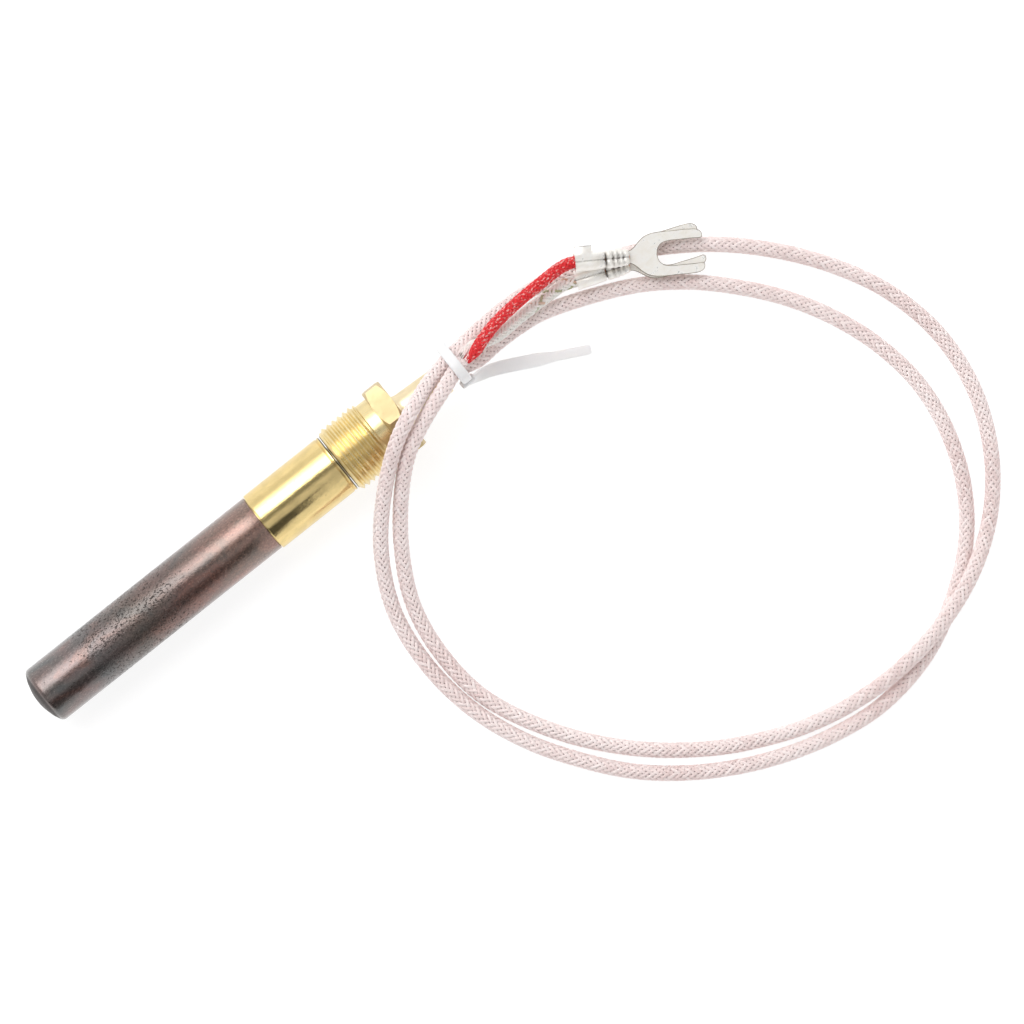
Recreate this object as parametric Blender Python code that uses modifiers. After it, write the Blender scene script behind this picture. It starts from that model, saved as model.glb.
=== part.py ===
"""Thermopile generator for a gas appliance: probe, loose nut, braided lead in two loops, fork terminals.

Metres, +Z up. +X runs along the probe's axis, from its hot tip towards the lead. The object lies on z = 0,
and x = y = 0 is the middle of the head: the probe, the sleeve, the nut and the neck.
"""

import math

import bmesh
import bpy
from mathutils import Matrix, Vector

MM = 0.001

# The head's axis lies this high, because the nut's hexagon touches the surface with a corner.
HEX_CORNER_RADIUS = 6.93
AXIS_HEIGHT = HEX_CORNER_RADIUS
HEX_TURN = math.radians(4.0)

# Stations along the head, in mm.
TIP_X = -40.5
SHEATH_END_X = 4.3
SLEEVE_START_X = 4.4
SLEEVE_END_X = 19.3
NUT_START_X = 19.6
THREAD_END_X = 26.6
HEX_START_X = 28.8
HEX_END_X = 32.1
NECK_END_X = 40.5

# Radii of the head, in mm.
SHEATH_RADIUS = 4.9
SHEATH_BORE = 4.5
SHEATH_DOME = (
    (0.0, 0.0),
    (0.08, 1.25),
    (0.31, 2.3),
    (0.63, 3.4),
    (0.94, 4.06),
    (1.25, 4.6),
    (1.6, 4.84),
    (2.0, 4.9),
)
SHEATH_BORE_DOME = ((2.1, 4.5), (1.65, 4.36), (1.3, 3.75), (0.9, 2.6), (0.55, 1.2), (0.48, 0.0))
SLEEVE_RADIUS = 5.12
SLEEVE_BORE = 3.95
SPIGOT_RADIUS = 4.38
SPIGOT_LENGTH = 5.4
SLEEVE_END_WALL = 2.3
SLEEVE_CHAMFER = 0.25
THREAD_RADIUS = 5.75
THREAD_ROOT_RADIUS = 5.2
THREAD_PITCH = 1.02
THREAD_CREST_X = 20.6
THREAD_CREST_COUNT = 6
THREAD_CREST_HALF = 0.1
THREAD_ROOT_HALF = 0.08
COLLAR_RADIUS = 5.15
NUT_BORE = 3.3
HEX_FACE_RADIUS = 6.05
HEX_CHAMFER_SLOPE = 1.45
HEX_CHAMFER_DEPTH = 0.75
FIT_GAP = 0.1
NECK_BODY_RADIUS = 2.95
NECK_SHOULDER_RADIUS = 2.75
NECK_MOUTH_RADIUS = 2.42
NECK_BORE = 1.9
NECK_FLANGE_RADIUS = 3.8
NECK_FLANGE_START_X = 15.5
NECK_FLANGE_THICKNESS = 1.2
NECK_SHOULDER_LENGTH = 0.6
NECK_MOUTH_CHAMFER = 0.12
NECK_MOUTH_CHAMFER_LENGTH = 0.3
HEAD_SEGMENTS = 48
INNER_SEGMENTS = 24
HOLE_SEGMENTS = 16

# How far the cutting bodies reach past the faces that they cut, in mm.
CUTTER_OVERRUN = 1.0
CHAMFER_OVERRUN = 0.5

# Steps of a smooth route between two of its points.
ROUTE_STEPS = 24

# The thermocouple stack inside the sheath, in mm.
COUPLE_COUNT = 24
COUPLE_WIRE_RADIUS = 0.17
COUPLE_OUTER_RADIUS = 3.52
COUPLE_INNER_RADIUS = 2.76
COUPLE_HOT_X = -37.3
COUPLE_COLD_X = 9.5
COUPLE_FOOT_DEPTH = 0.55
COUPLE_FOOT_INSET = 0.12
COUPLE_FOOT_TURN = 0.18
COUPLE_TAIL_GAP = 0.4
COUPLE_TAIL_BEND = 0.25
COUPLE_TAIL_REACH = 0.3
COUPLE_TAIL_DROP = 0.08
FIRST_COUPLE_STRAIGHT = 0.5
FIRST_COUPLE_BEND = 0.2
FIRST_COUPLE_INSET = 0.5
FIRST_COUPLE_RISE = 0.6
CERAMIC_CORE_RADIUS = 2.4
CERAMIC_CORE_START_X = -36.5
CERAMIC_CORE_END_X = 8.5
TIP_PAD_START_X = -38.5
TIP_PAD_END_X = -37.7
TIP_PAD_RADIUS = 4.3
LINER_START_X = -37.5
LINER_END_X = -1.2
LINER_INNER_RADIUS = 3.88
LINER_OUTER_RADIUS = 4.35
COLD_DISC_START_X = 11.0
COLD_DISC_END_X = 11.9
POTTING_RADIUS = 3.75
CEMENT_START_X = 12.1
CEMENT_END_X = 15.2
TAIL_HOLE_RADIUS = 0.32
TAIL_END_X = 12.2
SPLICE_START_X = 12.4
SPLICE_END_X = 15.0
SPLICE_OFFSET = 1.15
SPLICE_RADIUS = 0.75
SPLICE_CHAMFER = 0.12
SPLICE_HOLE_RADIUS = 0.9
INNER_WIRE_START_X = 15.2
INNER_WIRE_END_X = 36.9
INNER_WIRE_RADIUS = 0.6
INNER_WIRE_OFFSET = 0.78
INNER_WIRE_STRAIGHT = 0.6
INNER_WIRE_INSET = 0.05
INNER_WIRE_BEND_LENGTH = 2.2
BUSH_START_X = 37.6
BUSH_END_X = 40.3
BUSH_RADIUS = 1.8
BUSH_BORE = 1.36

# The lead, in mm.
LEAD_RADIUS = 1.25
LEAD_START_X = 37.2
CORE_RADIUS = 1.02
CORE_ROOT_RADII = (0.55, 0.8, 0.92)
CORE_GRIPPED_RADII = (0.88, 0.86)
CONDUCTOR_RADIUS = 0.38
TUBE_BEVEL_RESOLUTION = 2

# The lead's centreline, in mm: out of the neck, through the tie, round the inner upper strand and the outer
# lower one, back over the nut and through the tie, round again on the other side, and back to the tie, where
# it ends.
LEAD_ROOT = (LEAD_START_X, 0.0, AXIS_HEIGHT)
LEAD_ROUTE = (
    (41.0, 0.0, AXIS_HEIGHT),
    (43.4, -0.3, 6.7),
    (46.5, -1.0, 5.9),
    (50.6, -0.8, 4.5),
    (54.9, -0.9, 3.0),
    (59.1, -1.5, 1.9),
    (66.7, -4.2, 1.3),
    (73.8, -7.6, 1.3),
    (80.0, -12.0, 1.3),
    (85.5, -17.4, 1.3),
    (90.3, -23.4, 1.3),
    (94.2, -30.3, 1.3),
    (97.0, -38.1, 1.3),
    (98.2, -46.7, 1.3),
    (97.1, -55.3, 1.3),
    (93.8, -63.7, 1.3),
    (88.3, -71.1, 1.3),
    (80.6, -77.0, 1.3),
    (72.2, -81.0, 1.3),
    (62.4, -82.6, 1.3),
    (54.6, -81.8, 1.3),
    (46.8, -79.7, 1.3),
    (39.3, -76.5, 1.3),
    (32.2, -72.2, 1.3),
    (25.6, -66.7, 1.3),
    (20.2, -60.2, 1.3),
    (15.2, -52.3, 1.3),
    (11.8, -43.5, 1.3),
    (10.5, -34.0, 1.4),
    (11.6, -24.0, 2.9),
    (16.0, -15.0, 6.9),
    (22.8, -7.6, 12.0),
    (28.6, -3.3, 15.7),
    (32.6, -1.25, 16.3),
    (36.0, 0.15, 13.9),
    (39.4, 1.25, 11.5),
    (43.1, 1.95, 10.0),
    (50.0, 2.7, 6.1),
    (57.8, 2.7, 2.6),
    (64.8, 1.5, 1.4),
    (72.0, -1.0, 1.3),
    (79.4, -4.7, 1.3),
    (87.1, -10.1, 1.3),
    (93.6, -16.5, 1.3),
    (99.2, -24.0, 1.3),
    (103.5, -32.7, 1.3),
    (105.5, -42.6, 1.3),
    (104.5, -52.7, 1.3),
    (100.5, -62.1, 1.4),
    (94.2, -69.8, 1.9),
    (86.0, -75.3, 3.7),
    (76.7, -78.6, 4.0),
    (67.3, -79.9, 3.4),
    (58.8, -79.5, 2.2),
    (51.0, -77.8, 1.4),
    (44.4, -75.2, 1.3),
    (37.5, -71.5, 1.3),
    (28.4, -64.4, 1.3),
    (20.4, -55.0, 1.3),
    (14.5, -43.4, 1.3),
    (13.3, -34.0, 1.4),
    (14.6, -24.9, 2.7),
    (19.0, -16.3, 6.3),
    (25.2, -8.9, 11.3),
    (29.7, -5.35, 14.5),
    (34.3, -3.15, 14.5),
    (39.4, -1.35, 13.2),
    (44.2, 0.4, 11.7),
)
LEAD_POINTS = 79

# The two cores' centrelines, in mm, from the end of the jacket to their terminals.
RED_ROUTE = (
    (44.8, -0.1, 11.7),
    (46.6, 0.15, 11.8),
    (49.0, 0.95, 11.2),
    (51.9, 1.65, 10.2),
    (55.9, 2.1, 9.0),
    (59.9, 2.25, 8.0),
    (63.0, 2.4, 7.4),
    (65.4, 2.45, 7.2),
    (67.2, 1.79, 7.22),
    (70.0, 0.0, 6.9),
)
WHITE_ROUTE = (
    (44.8, 1.1, 11.2),
    (46.6, 1.15, 10.0),
    (48.6, 0.65, 9.0),
    (51.2, 0.05, 7.9),
    (55.0, 0.15, 6.2),
    (58.4, 0.15, 4.95),
    (61.5, 0.05, 4.3),
    (64.0, -0.1, 4.12),
    (65.8, -0.68, 4.15),
    (68.9, -1.89, 4.15),
)
CORE_POINTS = 14

# The fork terminals, in mm, each in its own frame: +x towards the fork's tips, z = 0 under the plate.
PLATE_THICKNESS = 0.5
FORK_HALF_OUTLINE = (
    (0.05, 0.9),
    (8.6, 0.95),
    (9.4, 1.3),
    (10.6, 2.4),
    (11.4, 3.0),
    (12.4, 3.35),
    (13.6, 3.5),
    (18.4, 3.5),
    (19.8, 3.35),
    (20.45, 2.9),
    (20.6, 2.3),
    (20.5, 2.0),
    (15.1, 1.92),
    (14.1, 1.65),
    (13.45, 0.98),
)
SLOT_END_X = 13.2
GRIP_LENGTH = 4.8
GRIP_RADIUS = 1.5
GRIP_BORE = 1.15
CRIMP_START_X = 5.3
CRIMP_END_X = 8.8
CRIMP_RADIUS = 1.05
CRIMP_BORE = 0.64
RING_SEAM = math.radians(8.0)
RING_STEPS = 20
WING_LENGTH = 2.7
WING_START_Y = 0.7
WING_END_Y = 2.45
WING_BOTTOM = 2.25
WING_TOP = 2.6
CONDUCTOR_ROUTE = ((3.5, 0.0, 1.5), (4.5, 0.0, 1.3), (5.3, 0.0, 1.1), (9.1, 0.0, 1.07))
RED_TERMINAL_PLACE = (67.5, 1.6, 5.68)
RED_TERMINAL_TURN = math.radians(-32.5)
RED_TERMINAL_DIP = math.radians(6.6)
WHITE_TERMINAL_PLACE = (66.1, -0.8, 2.6)
WHITE_TERMINAL_TURN = math.radians(-21.3)
WHITE_TERMINAL_DIP = 0.0

# The cable tie, in mm. Its loop stands across three cords, whose centres (y, z) there are TIE_CORDS.
TIE_X = 43.1
TIE_CORDS = ((-0.25, 6.75), (1.9, 10.05), (0.0, 12.1))
TIE_LOOP_RADIUS = 2.2
TIE_LOOP_POINTS = 32
TIE_HALF_WIDTH = 0.85
TIE_HALF_THICKNESS = 0.35
TIE_HEAD_CENTRE = (43.1, -2.6, 6.3)
TIE_HEAD_SIZE = (2.6, 1.3, 2.4)
TIE_HEAD_ROUNDING = 0.3
TIE_TWIST_SECTIONS = 4
TIE_TAIL_ROUTE = (
    (43.1, -2.6, 6.0),
    (43.15, -2.7, 4.6),
    (43.7, -2.8, 3.4),
    (44.9, -2.95, 2.4),
    (46.6, -3.3, 1.7),
    (48.6, -4.1, 1.3),
    (51.0, -5.3, 1.05),
    (56.0, -7.85, 0.8),
    (61.4, -10.6, 0.7),
)
TIE_TAIL_HALF_WIDTHS = (0.85, 0.9, 1.0, 1.1, 1.1, 1.1, 0.8, 0.8, 0.8)

part = bpy.data.collections.new("thermopile_generator")
cutters = bpy.data.collections.new("cutters")


def clear_scene():
    """Take every object out of the scene and put the two collections in it."""
    for old in list(bpy.data.objects):
        bpy.data.objects.remove(old, do_unlink=True)
    bpy.context.scene.collection.children.link(part)
    bpy.context.scene.collection.children.link(cutters)


def material(name, colour, roughness, metallic):
    """A Principled material with one colour."""
    made = bpy.data.materials.new(name)
    made.use_nodes = True
    shader = made.node_tree.nodes["Principled BSDF"]
    shader.inputs["Base Color"].default_value = (*colour, 1.0)
    shader.inputs["Roughness"].default_value = roughness
    shader.inputs["Metallic"].default_value = metallic
    return made


def mesh_object(name, mesh, surface, collection=part, smooth_angle=35.0):
    """An object from a finished mesh, shaded smooth up to an angle, outward normals made sure of."""
    shape = bmesh.new()
    shape.from_mesh(mesh)
    bmesh.ops.recalc_face_normals(shape, faces=shape.faces[:])
    shape.to_mesh(mesh)
    shape.free()
    mesh.shade_smooth()
    mesh.set_sharp_from_angle(angle=math.radians(smooth_angle))
    if surface:
        mesh.materials.append(surface)
    made = bpy.data.objects.new(name, mesh)
    collection.objects.link(made)
    return made


def turned_mesh(name, profile, segments):
    """A closed body of revolution about +X. The profile is (x, radius) in mm, end to end round the section.

    A profile that starts and ends at radius 0 makes a solid. Any other is a ring, closed on itself.
    """
    solid = profile[0][1] == 0.0 and profile[-1][1] == 0.0
    shape = bmesh.new()
    rings = []
    for x, radius in profile:
        if radius == 0.0:
            rings.append([shape.verts.new((x * MM, 0.0, 0.0))])
            continue
        ring = []
        for step in range(segments):
            angle = math.tau * step / segments
            across = radius * MM
            ring.append(shape.verts.new((x * MM, across * math.cos(angle), across * math.sin(angle))))
        rings.append(ring)
    pairs = list(zip(rings, rings[1:]))
    if not solid:
        pairs.append((rings[-1], rings[0]))
    for first, second in pairs:
        for step in range(segments):
            after = (step + 1) % segments
            corners = [first[step % len(first)], second[step % len(second)]]
            if len(second) > 1:
                corners.append(second[after])
            if len(first) > 1:
                corners.append(first[after])
            shape.faces.new(corners)
    mesh = bpy.data.meshes.new(name)
    shape.to_mesh(mesh)
    shape.free()
    return mesh


def turned(name, profile, surface, segments=HEAD_SEGMENTS, collection=part):
    """A turned piece on the head's axis."""
    made = mesh_object(name, turned_mesh(name, profile, segments), surface, collection)
    made.location = (0.0, 0.0, AXIS_HEIGHT * MM)
    return made


def smooth_route(points, count):
    """A centripetal Catmull-Rom curve through the points, read at equal steps of length."""
    places = [Vector(point) for point in points]
    ends = [places[0] * 2 - places[1]] + places + [places[-1] * 2 - places[-2]]
    fine = []
    for first, start, stop, last in zip(ends, ends[1:], ends[2:], ends[3:]):
        knots = [0.0]
        for one, two in ((first, start), (start, stop), (stop, last)):
            knots.append(knots[-1] + math.sqrt((two - one).length))
        for step in range(ROUTE_STEPS):
            at = knots[1] + (knots[2] - knots[1]) * step / ROUTE_STEPS
            a1 = first.lerp(start, (at - knots[0]) / (knots[1] - knots[0]))
            a2 = start.lerp(stop, (at - knots[1]) / (knots[2] - knots[1]))
            a3 = stop.lerp(last, (at - knots[2]) / (knots[3] - knots[2]))
            b1 = a1.lerp(a2, (at - knots[0]) / (knots[2] - knots[0]))
            b2 = a2.lerp(a3, (at - knots[1]) / (knots[3] - knots[1]))
            fine.append(b1.lerp(b2, (at - knots[1]) / (knots[2] - knots[1])))
    fine.append(places[-1])
    run = [0.0]
    for one, two in zip(fine, fine[1:]):
        run.append(run[-1] + (two - one).length)
    picked = []
    place = 0
    for step in range(count):
        wanted = run[-1] * step / (count - 1)
        while place < len(fine) - 2 and run[place + 1] < wanted:
            place += 1
        share = (wanted - run[place]) / (run[place + 1] - run[place])
        picked.append(fine[place].lerp(fine[place + 1], min(1.0, share)))
    return picked


def tube(name, points, radii, surface, resolution=TUBE_BEVEL_RESOLUTION):
    """A closed round tube along points in mm. radii is one radius for each point, or one for all."""
    curve = bpy.data.curves.new(name + "_line", "CURVE")
    curve.dimensions = "3D"
    curve.bevel_depth = MM
    curve.bevel_resolution = resolution
    curve.use_fill_caps = True
    spline = curve.splines.new("POLY")
    spline.points.add(len(points) - 1)
    for index, (knot, place) in enumerate(zip(spline.points, points)):
        knot.co = (place[0] * MM, place[1] * MM, place[2] * MM, 1.0)
        knot.radius = radii[index] if isinstance(radii, (list, tuple)) else radii
    line = bpy.data.objects.new(name + "_line", curve)
    part.objects.link(line)
    bpy.context.view_layer.update()
    mesh = bpy.data.meshes.new_from_object(line.evaluated_get(bpy.context.evaluated_depsgraph_get()))
    mesh.name = name
    bpy.data.objects.remove(line, do_unlink=True)
    shape = bmesh.new()
    shape.from_mesh(mesh)
    bmesh.ops.remove_doubles(shape, verts=shape.verts[:], dist=0.001 * MM)
    shape.to_mesh(mesh)
    shape.free()
    mesh.materials.clear()
    return mesh_object(name, mesh, surface, smooth_angle=50.0)


def slab(name, outline, bottom, top, surface, collection=part):
    """A closed slab with a flat outline (x, y) in mm, between two heights."""
    shape = bmesh.new()
    low = [shape.verts.new((x * MM, y * MM, bottom * MM)) for x, y in outline]
    high = [shape.verts.new((x * MM, y * MM, top * MM)) for x, y in outline]
    shape.faces.new(low[::-1])
    shape.faces.new(high)
    for index in range(len(outline)):
        after = (index + 1) % len(outline)
        shape.faces.new((low[index], low[after], high[after], high[index]))
    mesh = bpy.data.meshes.new(name)
    shape.to_mesh(mesh)
    shape.free()
    return mesh_object(name, mesh, surface, collection)


def drilled_disc(name, start, stop, radius, holes, hole_radius, surface):
    """A disc on the head's axis with round holes through it at (y, z) in mm from the axis."""
    profile = ((start, 0.0), (start, radius), (stop, radius), (stop, 0.0))
    disc = turned(name, profile, surface, INNER_SEGMENTS)
    for index, (y, z) in enumerate(holes):
        shape = bmesh.new()
        bmesh.ops.create_cone(
            shape,
            cap_ends=True,
            segments=HOLE_SEGMENTS,
            radius1=hole_radius * MM,
            radius2=hole_radius * MM,
            depth=(stop - start + 2 * CUTTER_OVERRUN) * MM,
            matrix=Matrix.Rotation(math.pi / 2, 4, "Y"),
        )
        mesh = bpy.data.meshes.new(f"{name}_hole_{index}")
        shape.to_mesh(mesh)
        shape.free()
        cutter = mesh_object(f"{name}_hole_{index}", mesh, None, cutters)
        cutter.location = ((start + stop) / 2 * MM, y * MM, (AXIS_HEIGHT + z) * MM)
        cut = disc.modifiers.new(f"hole_{index}", "BOOLEAN")
        cut.object = cutter
        cut.operation = "DIFFERENCE"
    return disc


def joined(base, pieces):
    """Unite helper solids with a base, each by a Boolean of its own."""
    for index, piece in enumerate(pieces):
        add = base.modifiers.new(f"join_{index}", "BOOLEAN")
        add.object = piece
        add.operation = "UNION"
    return base


clear_scene()

oxidised_steel = material("oxidised_steel", (0.11, 0.07, 0.065), 0.42, 0.9)
bright_brass = material("bright_brass", (0.78, 0.52, 0.17), 0.2, 1.0)
nut_brass = material("nut_brass", (0.76, 0.50, 0.16), 0.24, 1.0)
neck_brass = material("neck_brass", (0.80, 0.58, 0.26), 0.26, 1.0)
glass_braid = material("glass_braid", (0.84, 0.70, 0.68), 0.85, 0.0)
red_braid = material("red_braid", (0.82, 0.02, 0.03), 0.7, 0.0)
white_braid = material("white_braid", (0.80, 0.76, 0.70), 0.8, 0.0)
tinned_brass = material("tinned_brass", (0.78, 0.75, 0.70), 0.32, 1.0)
natural_nylon = material("natural_nylon", (0.86, 0.85, 0.84), 0.35, 0.0)
couple_alloy = material("couple_alloy", (0.55, 0.50, 0.44), 0.4, 1.0)
ceramic = material("ceramic", (0.86, 0.83, 0.76), 0.7, 0.0)
fibre_liner = material("fibre_liner", (0.82, 0.80, 0.74), 0.9, 0.0)
cement = material("cement", (0.62, 0.58, 0.52), 0.9, 0.0)
copper = material("copper", (0.80, 0.42, 0.26), 0.3, 1.0)


# ---- Probe sheath: a closed tube whose tip is a low dome with a rounded rim. ----
sheath_profile = [(TIP_X + depth, radius) for depth, radius in SHEATH_DOME]
sheath_profile += [(SHEATH_END_X, SHEATH_RADIUS), (SHEATH_END_X, SHEATH_BORE)]
sheath_profile += [(TIP_X + depth, radius) for depth, radius in SHEATH_BORE_DOME]
turned("probe_sheath", sheath_profile, oxidised_steel)

# ---- Cold junction sleeve: a spigot in the sheath, a thick body, an end wall that the neck passes. ----
turned(
    "cold_junction_sleeve",
    (
        (SLEEVE_START_X - SPIGOT_LENGTH, SLEEVE_BORE),
        (SLEEVE_START_X - SPIGOT_LENGTH, SPIGOT_RADIUS),
        (SLEEVE_START_X, SPIGOT_RADIUS),
        (SLEEVE_START_X, SLEEVE_RADIUS - SLEEVE_CHAMFER / 2),
        (SLEEVE_START_X + SLEEVE_CHAMFER / 2, SLEEVE_RADIUS),
        (SLEEVE_END_X - SLEEVE_CHAMFER, SLEEVE_RADIUS),
        (SLEEVE_END_X, SLEEVE_RADIUS - SLEEVE_CHAMFER),
        (SLEEVE_END_X, NECK_BODY_RADIUS + FIT_GAP),
        (SLEEVE_END_X - SLEEVE_END_WALL, NECK_BODY_RADIUS + FIT_GAP),
        (SLEEVE_END_X - SLEEVE_END_WALL, SLEEVE_BORE),
    ),
    bright_brass,
)

# ---- Rear neck: a flange held in the sleeve, a straight tube under the nut, a taper to the mouth. ----
turned(
    "rear_neck",
    (
        (NECK_FLANGE_START_X, NECK_BORE),
        (NECK_FLANGE_START_X, NECK_FLANGE_RADIUS),
        (NECK_FLANGE_START_X + NECK_FLANGE_THICKNESS, NECK_FLANGE_RADIUS),
        (NECK_FLANGE_START_X + NECK_FLANGE_THICKNESS, NECK_BODY_RADIUS),
        (HEX_END_X, NECK_BODY_RADIUS),
        (HEX_END_X + NECK_SHOULDER_LENGTH, NECK_SHOULDER_RADIUS),
        (NECK_END_X - NECK_MOUTH_CHAMFER_LENGTH, NECK_MOUTH_RADIUS),
        (NECK_END_X, NECK_MOUTH_RADIUS - NECK_MOUTH_CHAMFER),
        (NECK_END_X, NECK_BORE),
    ),
    neck_brass,
)

# ---- Attachment nut: hexagon, collar and thread in one piece, bored through. It turns on the neck. ----
hexagon = []
for corner in range(6):
    hex_angle = math.pi / 2 + HEX_TURN + math.tau * corner / 6
    hexagon.append((HEX_CORNER_RADIUS * math.cos(hex_angle), HEX_CORNER_RADIUS * math.sin(hex_angle)))
nut = slab("attachment_nut", hexagon, HEX_START_X, HEX_END_X, nut_brass)
nut.data.transform(Matrix(((0, 0, 1, 0), (1, 0, 0, 0), (0, 1, 0, 0), (0, 0, 0, 1))))
nut.location = (0.0, 0.0, AXIS_HEIGHT * MM)

chamfer_body = turned(
    "nut_chamfer_body",
    (
        (HEX_START_X - CHAMFER_OVERRUN, 0.0),
        (HEX_START_X - CHAMFER_OVERRUN, HEX_FACE_RADIUS - CHAMFER_OVERRUN * HEX_CHAMFER_SLOPE),
        (HEX_START_X + HEX_CHAMFER_DEPTH, HEX_FACE_RADIUS + HEX_CHAMFER_DEPTH * HEX_CHAMFER_SLOPE),
        (HEX_END_X - HEX_CHAMFER_DEPTH, HEX_FACE_RADIUS + HEX_CHAMFER_DEPTH * HEX_CHAMFER_SLOPE),
        (HEX_END_X + CHAMFER_OVERRUN, HEX_FACE_RADIUS - CHAMFER_OVERRUN * HEX_CHAMFER_SLOPE),
        (HEX_END_X + CHAMFER_OVERRUN, 0.0),
    ),
    None,
    collection=cutters,
)
thread_profile = [(NUT_START_X, 0.0), (NUT_START_X, THREAD_ROOT_RADIUS)]
for crest in range(THREAD_CREST_COUNT):
    crest_x = THREAD_CREST_X + THREAD_PITCH * crest
    thread_profile.append((crest_x - THREAD_PITCH / 2 + THREAD_ROOT_HALF, THREAD_ROOT_RADIUS))
    thread_profile.append((crest_x - THREAD_CREST_HALF, THREAD_RADIUS))
    thread_profile.append((crest_x + THREAD_CREST_HALF, THREAD_RADIUS))
    thread_profile.append((crest_x + THREAD_PITCH / 2 - THREAD_ROOT_HALF, THREAD_ROOT_RADIUS))
collar_end_x = HEX_START_X + CUTTER_OVERRUN
thread_profile += [(THREAD_END_X, COLLAR_RADIUS), (collar_end_x, COLLAR_RADIUS), (collar_end_x, 0.0)]
thread_body = turned("nut_thread_body", thread_profile, None, collection=cutters)
bore_body = turned(
    "nut_bore_body",
    (
        (NUT_START_X - CUTTER_OVERRUN, 0.0),
        (NUT_START_X - CUTTER_OVERRUN, NUT_BORE),
        (HEX_END_X + CUTTER_OVERRUN, NUT_BORE),
        (HEX_END_X + CUTTER_OVERRUN, 0.0),
    ),
    None,
    collection=cutters,
)
for label, body, operation in (
    ("chamfer", chamfer_body, "INTERSECT"),
    ("thread", thread_body, "UNION"),
    ("bore", bore_body, "DIFFERENCE"),
):
    cut = nut.modifiers.new(label, "BOOLEAN")
    cut.object = body
    cut.operation = operation

# ---- Inside the probe: pad, liner and ceramic core. ----
turned(
    "tip_insulator",
    (
        (TIP_PAD_START_X, 0.0),
        (TIP_PAD_START_X, TIP_PAD_RADIUS),
        (TIP_PAD_END_X, TIP_PAD_RADIUS),
        (TIP_PAD_END_X, 0.0),
    ),
    fibre_liner,
    INNER_SEGMENTS,
)
turned(
    "insulation_sleeve",
    (
        (LINER_START_X, LINER_INNER_RADIUS),
        (LINER_START_X, LINER_OUTER_RADIUS),
        (LINER_END_X, LINER_OUTER_RADIUS),
        (LINER_END_X, LINER_INNER_RADIUS),
    ),
    fibre_liner,
    INNER_SEGMENTS,
)
turned(
    "ceramic_core",
    (
        (CERAMIC_CORE_START_X, 0.0),
        (CERAMIC_CORE_START_X, CERAMIC_CORE_RADIUS),
        (CERAMIC_CORE_END_X, CERAMIC_CORE_RADIUS),
        (CERAMIC_CORE_END_X, 0.0),
    ),
    ceramic,
    INNER_SEGMENTS,
)


# ---- The couples: hairpins in a ring, hot junction at the tip, cold foot reaching to the next one. ----
def ring_place(x, radius, turn):
    return (x, radius * math.cos(turn), AXIS_HEIGHT + radius * math.sin(turn))


couple_step = math.tau / COUPLE_COUNT
hot_bend = (COUPLE_OUTER_RADIUS - COUPLE_INNER_RADIUS) / 2
for number in range(1, COUPLE_COUNT + 1):
    turn = couple_step * (number - 1)
    places = [
        ring_place(COUPLE_COLD_X, COUPLE_INNER_RADIUS, turn),
        ring_place(COUPLE_HOT_X + hot_bend, COUPLE_INNER_RADIUS, turn),
        ring_place(COUPLE_HOT_X, COUPLE_INNER_RADIUS + hot_bend, turn),
        ring_place(COUPLE_HOT_X + hot_bend, COUPLE_OUTER_RADIUS, turn),
        ring_place(COUPLE_COLD_X, COUPLE_OUTER_RADIUS, turn),
    ]
    foot_x = COUPLE_COLD_X + COUPLE_FOOT_DEPTH
    if number < COUPLE_COUNT:
        foot_turn = turn + couple_step * COUPLE_FOOT_TURN
        places.append(ring_place(foot_x, COUPLE_OUTER_RADIUS - COUPLE_FOOT_INSET, foot_turn))
        places.append(ring_place(foot_x, COUPLE_INNER_RADIUS, turn + couple_step))
    else:
        tail_x = COLD_DISC_START_X - COUPLE_TAIL_GAP
        places[-1] = ring_place(tail_x - COUPLE_TAIL_BEND, COUPLE_OUTER_RADIUS, turn)
        places.append(ring_place(tail_x, COUPLE_OUTER_RADIUS - COUPLE_TAIL_BEND, turn))
        places.append((tail_x, COUPLE_TAIL_REACH - SPLICE_OFFSET, AXIS_HEIGHT - COUPLE_TAIL_DROP))
        places.append((tail_x + COUPLE_TAIL_BEND, -SPLICE_OFFSET, AXIS_HEIGHT))
        places.append((TAIL_END_X, -SPLICE_OFFSET, AXIS_HEIGHT))
    if number == 1:
        first = [
            (TAIL_END_X, SPLICE_OFFSET, AXIS_HEIGHT),
            (COUPLE_COLD_X + FIRST_COUPLE_STRAIGHT, SPLICE_OFFSET, AXIS_HEIGHT),
            (COUPLE_COLD_X - FIRST_COUPLE_BEND, COUPLE_INNER_RADIUS - FIRST_COUPLE_INSET, AXIS_HEIGHT),
            (COUPLE_COLD_X - FIRST_COUPLE_RISE, COUPLE_INNER_RADIUS, AXIS_HEIGHT),
        ]
        places = first + places[1:]
    tube(f"thermocouple_{number:02d}", places, COUPLE_WIRE_RADIUS, couple_alloy, resolution=1)

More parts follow.
